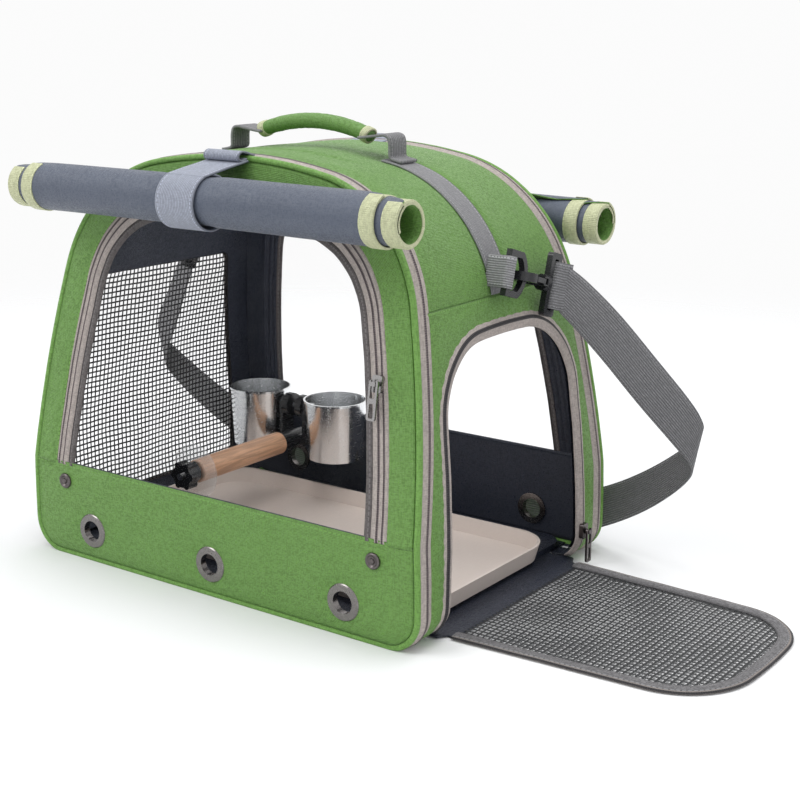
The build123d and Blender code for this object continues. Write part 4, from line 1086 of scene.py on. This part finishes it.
class CARRIER_OT_doorway(Piece, bpy.types.Operator):
    """Doorway zipper, the door's net and edge, and its cloth hinge"""

    bl_idname = "carrier.doorway"
    bl_label = "Doorway and door"

    def build(self, size):
        edge = leaf(0.0, DOOR_FOOT, 220)
        normals = across_of(edge)
        put = on_end(1)

        def place(i, across, lift):
            (y, z), (ny, nz) = edge[i], normals[i]
            return put(y - ny * across, z - nz * across, lift + 0.35 * crumple(y, z, 0, 17, 2.0))

        bm = strip(edge, DOORWAY_ZIP_SECTION, place)
        settle("doorway_zip", bm, "Doorway zip", ("doorway_tape",), thick=1.2)

        base = leaf(LEAF_INSET, LEAF_FOOT, 240)
        out = across_of(base)

        def on_ground(y, z, lift):
            ripple = 0.35 * crumple(y, z, 3, 34)
            return LEAF_X + z, y, max(LEAF_MIDDLE + lift + ripple, 0.35 if lift > -1 else 0.15)

        def edge_place(i, across, lift):
            (y, z), (ny, nz) = base[i], out[i]
            return on_ground(y - ny * across, z - nz * across, lift)

        bm = strip(base, DOOR_EDGE_SECTION, edge_place, tube=True)
        settle("door_edge", bm, "Grey binding", ("door_binding",), body="door", closed=True)
        bm = strip(base, DOOR_ZIP_SECTION, edge_place, tube=True)
        settle("door_zip", bm, "Door zip", body="door", closed=True)

        def lying(y, z, v):
            return LEAF_X + z, y, LEAF_MIDDLE + 1.3 * crumple(y, z, 8, 55) * fade(1 - v, 0.15)

        inner = leaf(LEAF_INSET + LEAF_EDGE - 0.6, LEAF_FOOT + 0.5, 60, 1.0)
        bm = stretch_net(inner, DOOR_NET_MIDDLE, 40, lying)
        lay_flat(bm, 0, 1)
        settle("door_net", bm, "Black door net", ("door_mesh",), body="door",
               away_from=(300, 0, -500))

        def hinge(u, v):
            x = HINGE_FROM + (HINGE_TO - HINGE_FROM) * u
            y = (HINGE_HALF + HINGE_WIDER * (1 - fade(x - HINGE_NARROWS, 5))) * (2 * v - 1)
            return x, y, 1.6 + 0.35 * crumple(x, y, 0, 20) + 1.4 * sin(pi * fade(u, 1.0))

        bm = patch(30, 60, hinge, lambda u, v: (41 * u, 2 * HINGE_HALF * v))
        piece = settle("door_hinge_cloth", bm, "Navy lining", ("door_hinge_strip",), body=None,
                       thick=1.0, away_from=(200, 0, -500))
        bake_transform(piece)


LINING_SHY = 0.8
LINING_DOORWAY_IN, LINING_DOORWAY_FOOT = 9.6, -8.0
INNER_BAND_FOOT, INNER_BAND_RISE = 7.0, 74.0
LEFT_SHIFT = 1000.0  # sets the left end's holes apart from the right end's in the flat layout


class CARRIER_OT_linings(Piece, bpy.types.Operator):
    """Linings inside the shell"""

    bl_idname = "carrier.linings"
    bl_label = "Linings"

    def build(self, size):
        holes = [
            leaf(LINING_DOORWAY_IN, LINING_DOORWAY_FOOT, DOORWAY_STEPS),
            [(-LEFT_SHIFT - y, z) for y, z in left_opening(LEFT_EDGE - 0.4, OPENING_STEPS)],
        ]

        def flat(u, v):
            s = (RIM - 12) * (2 * u - 1)
            z = rim(s, 3.0)[1]
            y = (2 * v - 1) * (face_out(z) - LINING_SHY)
            if abs(s) < SEAM_S:
                return 5 * LEFT_SHIFT, z
            return (y if s > 0 else -LEFT_SHIFT - y), z

        def place(u, v, at=None):
            s = (RIM - 12) * (2 * u - 1)
            if at:
                y = at[0] if s > 0 else -LEFT_SHIFT - at[0]
                s = rim_at_z(at[1], 3.0) * (1 if s > 0 else -1)
            else:
                y = (2 * v - 1) * (face_out(rim(s, 3.0)[1]) - LINING_SHY)
            x, z = rim(s, 3.8 + 0.5 * (1 + crumple(s, y, 0, 40, 9.0)))
            return x, y, z

        bm = patch(260, 84, place, lambda u, v: (1000 * u, 260 * v), holes, flat, 5.0)
        settle("shell_lining", bm, "Navy lining", ("inner_lining",))

        eyes = [ring_line(x, EYELET_Z, EYELET_HOLE) for x in EYELETS]
        for name, side in FACES:
            def band(u, v):
                z = INNER_BAND_FOOT + INNER_BAND_RISE * v
                return (2 * u - 1) * (band_half(z) - 0.5), z

            def lay(u, v, at=None):
                x, z = at or band(u, v)
                return x, side * (face_out(z) - 2.5 - 0.35 * (1 + crumple(x, z, side, 30))), z

            bm = patch(120, 24, lay, lambda u, v: (370 * u, INNER_BAND_RISE * v), eyes, band, 4.0)
            settle(f"{name}_band_inside", bm, "Navy lining", (f"{name}_band_lining",),
                   away_from=(0, side * 900, 60))


ROLLS = {"front": (-1, 318.5), "back": (1, 288.0)}
ROLL_OUT, ROLL_R, ROLL_HALF = 141.0, 19.4, 195.0
APRON_HALF, OUTER_HALF, BINDING_W = 113.0, 177.0, 12.6
TIE_X, TIE_HALF = -6.0, 19.0
SHADE_ROWS, TIE_HOLD = 300, 1.6
APRON_DROP, ROLL_STARTS = 20.0, radians(112)
TIE_STARTS = {"front": radians(78), "back": radians(96)}
TIE_STEPS, FULL_TURN_STEPS = 66, 70


def roll_line(z, turns, pitch, steps=260):
    """Section of a shade as (out, up): from the panel's seam to the roll and round it inwards."""
    seam = CROWN_Z - FRAME_IN + 4
    points = [(face_out(seam) + 2.2, seam)]
    touch = (ROLL_OUT + ROLL_R * cos(ROLL_STARTS), z + ROLL_R * sin(ROLL_STARTS))
    for k in range(1, 8):
        f = k / 8
        points.append((points[0][0] + (touch[0] - points[0][0]) * f,
                       seam + (touch[1] - seam) * f + 1.2 * sin(pi * f)))
    for k in range(steps + 1):
        turned = 2 * pi * turns * k / steps
        a = ROLL_STARTS - turned
        r = ROLL_R - pitch * turned / (2 * pi) + 0.35 * sin(2.0 * a + 0.6)
        points.append((ROLL_OUT + r * cos(a), z + r * sin(a)))
    return points


class CARRIER_OT_shades(Piece, bpy.types.Operator):
    """Rolled shades with their bindings and ties"""

    bl_idname = "carrier.shades"
    bl_label = "Rolled shades"

    def build(self, size):
        for name, (side, z) in ROLLS.items():
            line = even(roll_line(z, size.roll_turns, size.roll_pitch), SHADE_ROWS)
            length = sum(hypot(b[0] - a[0], b[1] - a[1]) for a, b in zip(line, line[1:]))
            turn = 2 * pi * ROLL_R
            reach = hypot(line[0][0] - ROLL_OUT, APRON_DROP)

            def half(d):
                d -= reach
                widen = (OUTER_HALF - APRON_HALF) * fade(d + 18, 21)
                return APRON_HALF + widen + (ROLL_HALF - OUTER_HALF) * fade(d - turn * 0.9, 10)

            slices = 2 * SHADE_ROWS
            area = sum(2 * half(length * (i + 0.5) / slices)
                       for i in range(slices)) * length / slices * MM * MM

            def place(u, v):
                i = round(u * SHADE_ROWS)
                out, up = line[i]
                x = (2 * v - 1) * half(length * u)
                if i > 12:
                    squeeze = 1 - 0.05 * (1 - fade(abs(x - TIE_X) - TIE_HALF, 14))
                    out, up = ROLL_OUT + (out - ROLL_OUT) * squeeze, z + (up - z) * squeeze
                swell = 0.5 * crumple(x, u * 900, side * 5, 70) if u > 0.1 else 0.0
                droop = -0.8 * (abs(x) / ROLL_HALF) ** 2
                return x, side * (out + swell), up + swell * 0.6 + droop

            bm = patch(SHADE_ROWS, 46, place, lambda u, v: (412 * v, length * u))
            piece = settle(f"{name}_shade_cloth", bm, "Slate shade cloth",
                           (f"{name}_rolled_shade",), thick=1.0, away_from=(0, side * ROLL_OUT, z),
                           offset=0.0, lined="Green frame")
            bindings = (("outer", OUTER_HALF - 12.0, -0.8, 3, turn * 1.02),
                        ("end", ROLL_HALF - 12.0, -2.2, turn, turn * 2.02))
            for tag, at, low, first, last in bindings:
                part = [p for k, p in enumerate(line)
                        if reach + first <= length * k / SHADE_ROWS <= reach + last]
                edge = at + BINDING_W
                for word, way in ENDS:
                    profile = [(at, -0.6), (at, 0.9), (at + 0.6, 1.35), (edge - 0.8, 1.35), (edge, 0.7),
                               (edge, low)]

                    def ring(i, across, lift):
                        out, up = part[i][0] - ROLL_OUT, part[i][1] - z
                        r = hypot(out, up)
                        k = (r + lift + 0.3 * crumple(across, i * 3.0, way, 20)) / r
                        return way * across, side * (ROLL_OUT + out * k), z + up * k - 0.7

                    bm = strip(part, profile, ring)
                    middle = (way * (at + BINDING_W / 2), side * ROLL_OUT, z)
                    binding = settle(f"{name}_{word}_{tag}_binding", bm, "Pale binding",
                                     ("shade_bindings",), thick=0.6, away_from=middle)
            self.tie(name, side, z)

    def tie(self, name, side, z):
        """Webbing that holds a roll, sewn to the roof, with a folded end."""
        out = face_out(CROWN_Z)
        roof = CROWN_Z - 2.0
        hold = ROLL_R + TIE_HOLD
        line = [(out - 28, roof - 1.8), (out - 14, roof - 0.6), (out - 4, roof), (out + 3, roof - 1.0)]
        first = TIE_STARTS[name]
        last = first - 2 * pi * TIE_STEPS / FULL_TURN_STEPS
        line += arc_points((ROLL_OUT, z - 0.4), hold, first, last, TIE_STEPS)
        line = even(spline(line, 260), 200)

        def place(i, across, lift):
            o, up = line[i]
            return (TIE_X + across, side * (o + 0.3 * crumple(across, i, 0, 30)),
                    up + lift + 0.3 * crumple(i, across, 6, 25))

        profile = band_profile(TIE_HALF, 12)
        bm = strip(line, profile, place)
        settle(f"{name}_shade_tie", bm, "Pale webbing", ("shade_straps",), thick=1.5,
               away_from=(TIE_X, side * ROLL_OUT, z), offset=0.0)
        stub = spline([(out - 27, roof + 0.6), (out - 17, roof + 2.4), (out - 6, roof + 3.4),
                       (out + 1, roof + 5.6), (out + 7, roof + 6.4), (out + 11, roof + 4.0),
                       (out + 10.5, roof + 0.6), (out + 6, roof - 0.6), (out + 1.5, roof + 0.8)], 60)

        def stub_place(i, across, lift):
            o, up = stub[i]
            return TIE_X + across * 0.94, side * o, up + lift

        bm = strip(stub, profile, stub_place)
        settle(f"{name}_tie_end", bm, "Pale webbing", thick=1.4,
               away_from=(TIE_X, side * out, roof - 40), offset=0.0)


GRIP_HALF, GRIP_END_Z, GRIP_CROWN = 57.0, 361.0, 10.0
GRIP_SQUASH, GRIP_SIDES = 0.8, 28
# a handle loop's way from the grip to the roof, as x and z of the right one
LOOP_BENDS = [(51, 360.4), (58, 361.2), (68, 362.6), (76, 363.6), (80.8, 361.8), (82.4, 357),
              (82.6, 351), (82.9, 347), (85.4, 345.1), (94, 343.4)]
LOOP_HALF, SIDE_TAPE_HALF, SIDE_TAPE_FROM = 11.0, 12.5, 76.0


class CARRIER_OT_handle(Piece, bpy.types.Operator):
    """Padded grip, its loops and the webbing down the ends"""

    bl_idname = "carrier.handle"
    bl_label = "Handle"

    def build(self, size):
        big = (GRIP_HALF**2 + GRIP_CROWN**2) / (2 * GRIP_CROWN)
        middle = GRIP_END_Z + GRIP_CROWN - big
        spread = asin(GRIP_HALF / big)

        def grip_point(a, radius, turn):
            r = big + GRIP_SQUASH * radius * sin(turn)
            return r * sin(a), radius * cos(turn), middle + r * cos(a)

        loop_line = spline(LOOP_BENDS, 90)
        def grip_place(u, v):
            a = spread * 0.995 * (2 * u - 1)
            k = abs(2 * u - 1)
            radius = size.grip_radius * (0.86 + 0.14 * (1 - k**4))
            turn = 2 * pi * v
            radius *= fade(1.0 - k + 0.012, 0.02) if k > 0.985 else 1
            seam = 0.5 * max(0.0, 1 - ((turn - 1.5 * pi) / 0.16) ** 2)
            pleat = sin(a * 420 + 2 * crumple(a * 600, 0, 0, 14))
            fold = 0.35 * pleat * fade(k, 1.0) * (0.5 + 0.5 * cos(turn))
            return grip_point(a, radius - seam + fold + 0.35 * crumple(a * 500, turn * 8, 0, 12), turn)

        bm = patch(110, GRIP_SIDES, grip_place, lambda u, v: (50 * v, 130 * u))
        bmesh.ops.remove_doubles(bm, verts=bm.verts, dist=0.02)
        bmesh.ops.holes_fill(bm, edges=[e for e in bm.edges if e.is_boundary])
        grip = settle("grip_pad", bm, "Green heather", ("handle_grip",), body="handle",
                      closed=True)

        for word, way in ENDS:
            def end_place(u, v):
                a = way * spread * (0.88 + 0.115 * u)
                r = size.grip_radius * 0.9 + 0.9 + 0.5 * sin(pi * min(max(u, 0), 1)) ** 0.3
                return grip_point(a, r if 0.001 < u < 0.999 else r - 1.8, 2 * pi * v)

            bm = patch(10, GRIP_SIDES, end_place, lambda u, v: (9 * u, 50 * v))
            bmesh.ops.remove_doubles(bm, verts=bm.verts, dist=0.02)
            settle(f"{word}_grip_end", bm, "Pale binding", ("handle_binding",),
                   body="handle", thick=0.5, away_from=(way * 53, 0, 359))

            def loop_place(i, across, lift):
                x, z = loop_line[i]
                return way * (x + lift), across + 0.4 * crumple(x, z, across, 20), z

            bm = strip(loop_line, band_profile(LOOP_HALF, 8, 0.25), loop_place)
            piece = settle(f"{word}_handle_loop", bm, "Loop webbing", ("handle_loops",),
                           body=None, thick=2.2, away_from=(way * 70, 0, 346), offset=0.0)
            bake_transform(piece)

            start_s = bisect(0.0, RIM, lambda s: rim(s)[0] > SIDE_TAPE_FROM)
            down = [start_s + (SEAM_S - 1 - start_s) * k / 90 for k in range(91)]

            def tape_place(i, across, lift):
                x, z = rim(down[i], -1.9 - lift - 0.25 * crumple(down[i], across, way, 24))
                return way * x, across, z

            bm = strip([rim(s) for s in down], band_profile(SIDE_TAPE_HALF, 8, 0.35), tape_place)
            settle(f"{word}_side_tape", bm, "Roof webbing", ("side_webbing",), thick=1.5)


RING_AT, DROP = (193.92, -8.0, 266.0), radians(16)
ALONG, UPRIGHT = (0.0, cos(DROP), -sin(DROP)), (0.0, sin(DROP), cos(DROP))
BAR_ALONG = 71.0
STRAP_HALF, TAB_HALF, WEBBING_TURN = 19.0, 12.4, 4.6
STRAP_BEHIND = 150.0
# right half of the shoulder strap: place of the webbing's middle, then the direction across it
STRAP_LINE = [
    (200, 65.5, 243.5, 0.0, 0.28, 0.96),
    (213, 72, 231, 0.16, 0.26, 0.95),
    (235, 82.5, 206, 0.3, 0.24, 0.92),
    (263, 96, 170, 0.36, 0.2, 0.9),
    (287, 107, 140, 0.34, 0.12, 0.93),
    (298, 116, 121, 0.26, 0.02, 0.96),
    (295, 124, 108, 0.16, -0.02, 0.98),
    (276, 133, 88, 0.1, 0.0, 0.99),
    (244, 143, 63, 0.05, 0.0, 1.0),
    (208, 153, 41, 0.03, 0.0, 1.0),
    (174, 160, 26, 0.0, 0.0, 1.0),
    (140, 164.2, 21.4, 0.0, 0.0, 1.0),
    (90, 164.4, 21.2, 0.0, 0.0, 1.0),
    (30, 164.2, 21.2, 0.0, 0.0, 1.0),
]


def ring_place(way, x, along, up):
    """Point given across, along and up the snap hook's slanted line."""
    base = (x, RING_AT[1] + along * ALONG[1] + up * UPRIGHT[1],
            RING_AT[2] + along * ALONG[2] + up * UPRIGHT[2])
    return way * base[0], base[1], base[2]


class CARRIER_OT_straps(Piece, bpy.types.Operator):
    """Ring tabs and the shoulder strap"""

    bl_idname = "carrier.straps"
    bl_label = "Shoulder strap"

    def build(self, size):
        for word, way in ENDS:
            x0 = RING_AT[0]
            line = [(x0 - 17.4, 0.3), (x0 - 9, 0.6)]
            line += [(x0 + WEBBING_TURN * cos(t), -2.5 + WEBBING_TURN * sin(t))
                     for t in (pi / 2 - pi * k / 16 for k in range(17))]
            line += [(x0 - 9, -5.4), (x0 - 17.4, -5.2)]
            line = even(spline(line, 160), 80)

            def tab(i, across, lift):
                return ring_place(way, line[i][0], line[i][1], across)

            bm = strip(line, band_profile(TAB_HALF, 8), tab)
            settle(f"{word}_ring_tab", bm, "Roof webbing", ("ring_tabs",), thick=1.4,
                   away_from=(way * (x0 - 8), RING_AT[1], RING_AT[2]), offset=0.0)

            fold = [(x0 + 9.5, BAR_ALONG + 9), (x0 + 5.4, BAR_ALONG + 4)]
            fold += [(x0 + WEBBING_TURN * cos(t), BAR_ALONG + WEBBING_TURN * sin(t))
                     for t in (0.2 - 3.6 * k / 16 for k in range(17))]
            fold += [(x0 + 1.5, BAR_ALONG + 6.5), (x0 + 7.8, BAR_ALONG + 11.5)]
            fold = even(spline(fold, 160), 80)

            def loop(i, across, lift):
                return ring_place(way, fold[i][0], fold[i][1], across)

            bm = strip(fold, band_profile(STRAP_HALF, 10), loop)
            settle(f"{word}_strap_fold", bm, "Strap webbing", thick=1.5,
                   away_from=(way * x0, 60, 246), offset=0.0)

        mirrored = [(-x, y, z, -a, b, c) for x, y, z, a, b, c in reversed(STRAP_LINE)]
        line = even(spline(STRAP_LINE + mirrored, 900), 420, places=3)

        def ribbon(i, across, lift):
            x, y, z, a, b, c = line[i]
            long = sqrt(a * a + b * b + c * c)
            curl = 0.5 * crumple(x, y, z, 60) * (1 if y < STRAP_BEHIND else 0.1)
            return x + across * a / long, y + across * b / long + curl, z + across * c / long

        bm = strip([p[:3] for p in line], band_profile(STRAP_HALF, 10), ribbon)
        settle("shoulder_strap", bm, "Strap webbing",
               ("left_strap_end", "right_strap_end", "strap_back"), thick=1.7, offset=0.0)


HARD_FINISHES = {
    "Navy base cloth": ("bottom_panel", "floor_board"),
    "Cream tray": ("tray",),
    "Polished steel": ("left_cup", "right_cup", "perch_rod", "perch_rod_nut"),
    "Glossy black plastic": ("perch_star_knob", "left_cup_knob", "right_cup_knob"),
    "Black plastic": ("cup_bracket", "left_hook", "right_hook", "left_hook_gate", "right_hook_gate",
                      "hook_swivels", "strap_rings", "strap_adjuster"),
    "Eyelet nickel": ("eyelets",),
    "Dark nickel": ("door_zipper_slider", "door_zipper_puller"),
    "Worn silver": ("front_zipper_slider", "front_zipper_puller"),
    "Turned dowel": ("perch_dowel",),
    "Clear washer": ("perch_washer",),
}


class CARRIER_OT_fittings(Piece, bpy.types.Operator):
    """Finishes of the tray, perch, cups and hardware"""

    bl_idname = "carrier.fittings"
    bl_label = "Fittings"

    def build(self, size):
        for finish, names in HARD_FINISHES.items():
            for name in names:
                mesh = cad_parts[name].data
                mesh.materials.clear()
                mesh.materials.append(FINISHES[finish])


SNAP_X, SNAP_Z, SNAP_LIFT, SNAP_STEPS = 164.0, 67.0, 1.2, 36
# radius and height of a snap socket's turned section
SNAP_TURNING = ((6.5, 0.2), (6.6, 1.2), (5.9, 2.3), (5.0, 2.5), (4.3, 1.9), (3.9, 1.0), (2.4, 0.9),
                (2.1, 1.4), (2.0, 2.6), (1.4, 3.0), (0.0, 3.1))


class CARRIER_OT_snaps(Piece, bpy.types.Operator):
    """Turned snap sockets on the bands"""

    bl_idname = "carrier.snaps"
    bl_label = "Snaps"

    def build(self, size):
        bm = bmesh.new()
        for _, side in FACES:
            for x in (-SNAP_X, SNAP_X):
                points = [bm.verts.new((x + r, side * (FACE_OUT + SNAP_LIFT + out), SNAP_Z))
                          for r, out in SNAP_TURNING]
                edges = [bm.edges.new(pair) for pair in zip(points, points[1:])]
                bmesh.ops.spin(bm, geom=points + edges, cent=(x, 0, SNAP_Z), axis=(0, 1, 0), dvec=(0, 0, 0),
                               angle=2 * pi, steps=SNAP_STEPS, use_merge=True, use_normal_flip=False,
                               use_duplicate=False)
        bmesh.ops.remove_doubles(bm, verts=bm.verts, dist=0.01)
        settle("snap_sockets", bm, "Dark nickel", ("snap_studs",), closed=True)


FLOOR_HALF, FLOOR_FADES_FROM, FLOOR_FADES_TO = 6.0, 0.6, 1.6
# name, place in metres, watts and width in metres of each lamp
LAMPS = (
    ("key", (-1.3, -1.9, 2.3), 34.0, 1.6),
    ("fill", (2.2, -1.0, 1.3), 4.0, 1.4),
    ("above", (0.3, 0.4, 2.6), 36.0, 1.8),
    ("inside", (0.0, 0.0, 0.318), 0.35, 0.2),
)
LAMPS_AIM = (0.0, 0.0, 0.15)
LENS_LENGTH, SENSOR_WIDTH = 67.66, 36.0
EYE_AT, EYE_TURN, EYE_DIP, EYE_ROLL = (0.7840, -0.9768, 0.4585), 0.6201, 0.2533, 0.0055


class CARRIER_OT_stage(Piece, bpy.types.Operator):
    """Pale floor, soft light and camera"""

    bl_idname = "carrier.stage"
    bl_label = "Stage"

    def build(self, size):
        self.floor()
        self.room()
        self.lamps()
        self.camera()

    def floor(self):
        """Pale floor that fades out away from its middle."""
        bm = bmesh.new()
        bmesh.ops.create_grid(bm, x_segments=2, y_segments=2, size=FLOOR_HALF)
        mesh = bpy.data.meshes.new("floor")
        bm.to_mesh(mesh)
        bm.free()
        ground = shown("floor", mesh)
        tree, shader = start("Pale floor", 0.9, Base_Color=(0.93, 0.93, 0.93, 1.0), Specular_IOR_Level=0.1)
        span = node(tree, "ShaderNodeVectorMath", {0: where(tree, False)},
                    operation="LENGTH").outputs["Value"]
        tree.links.new(ramp(tree, span, FLOOR_FADES_TO, FLOOR_FADES_FROM), shader.inputs["Alpha"])
        mesh.materials.append(FINISHES["Pale floor"])
        ground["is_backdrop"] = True

    def room(self):
        """World that gives soft light and looks white itself."""
        world = bpy.data.worlds.new("Soft room")
        bpy.context.scene.world = world
        world.use_nodes = True
        tree = world.node_tree
        path = node(tree, "ShaderNodeLightPath").outputs
        seen = calc(tree, "MAXIMUM", path["Is Camera Ray"], path["Is Transmission Ray"])
        seen = calc(tree, "MAXIMUM", seen, path["Is Glossy Ray"])
        back = tree.nodes["Background"]
        tree.links.new(blend_colour(tree, seen, (0.62, 0.63, 0.65, 1), (0.97, 0.97, 0.97, 1)),
                       back.inputs["Color"])
        back.inputs["Strength"].default_value = 1.0

    def lamps(self):
        """Area lamps aimed at the carrier's middle, one of them inside it."""
        for name, at, energy, width in LAMPS:
            lamp = bpy.data.lights.new(name, "AREA")
            lamp.energy, lamp.size = energy, width
            holder = shown(name, lamp)
            holder.location = at
            holder.visible_camera = name != "inside"
            holder.rotation_euler = (Vector(LAMPS_AIM) - Vector(at)).to_track_quat("-Z", "Y").to_euler()

    def camera(self):
        """Camera in front and to the right, a little above the handle."""
        lens = bpy.data.cameras.new("camera")
        lens.lens, lens.sensor_width = LENS_LENGTH, SENSOR_WIDTH
        lens.dof.use_dof = False
        lens.clip_start, lens.clip_end = 0.01, 100.0
        eye = shown("camera", lens)
        eye.location = EYE_AT
        turn = (Matrix.Rotation(EYE_TURN, 4, "Z") @ Matrix.Rotation(pi / 2 - EYE_DIP, 4, "X")
                @ Matrix.Rotation(EYE_ROLL, 4, "Z"))
        eye.rotation_euler = turn.to_euler()
        bpy.context.scene.camera = eye
        bpy.context.scene.view_settings.view_transform = "Standard"


OPERATORS = (
    CARRIER_OT_finishes, CARRIER_OT_faces, CARRIER_OT_edges, CARRIER_OT_ends, CARRIER_OT_windows,
    CARRIER_OT_doorway, CARRIER_OT_linings, CARRIER_OT_shades, CARRIER_OT_handle, CARRIER_OT_straps,
    CARRIER_OT_snaps, CARRIER_OT_fittings, CARRIER_OT_stage,
)


class CARRIER_PT_panel(bpy.types.Panel):
    """Sizes, colours and pieces of the carrier"""

    bl_label = "Bird travel carrier"
    bl_space_type = "VIEW_3D"
    bl_region_type = "UI"
    bl_category = "Carrier"

    def draw(self, context):
        for holder in (context.scene.carrier_sizes, context.scene.carrier_colours):
            for key in holder.__annotations__:
                self.layout.prop(holder, key)
        for kind in OPERATORS:
            self.layout.operator(kind.bl_idname)


CLASSES = (CarrierSizes, CarrierColours, *OPERATORS, CARRIER_PT_panel)


def register():
    for kind in CLASSES:
        bpy.utils.register_class(kind)
    bpy.types.Scene.carrier_sizes = PointerProperty(type=CarrierSizes)
    bpy.types.Scene.carrier_colours = PointerProperty(type=CarrierColours)


def unregister():
    del bpy.types.Scene.carrier_sizes
    del bpy.types.Scene.carrier_colours
    for kind in reversed(CLASSES):
        bpy.utils.unregister_class(kind)


def corners():
    """Lowest and highest corner of what is shown."""
    return [list(corner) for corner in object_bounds()]


def main():
    register()
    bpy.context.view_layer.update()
    for kind in OPERATORS:
        area, word = kind.bl_idname.split(".")
        getattr(getattr(bpy.ops, area), word)()


if __name__ == "__main__":
    main()
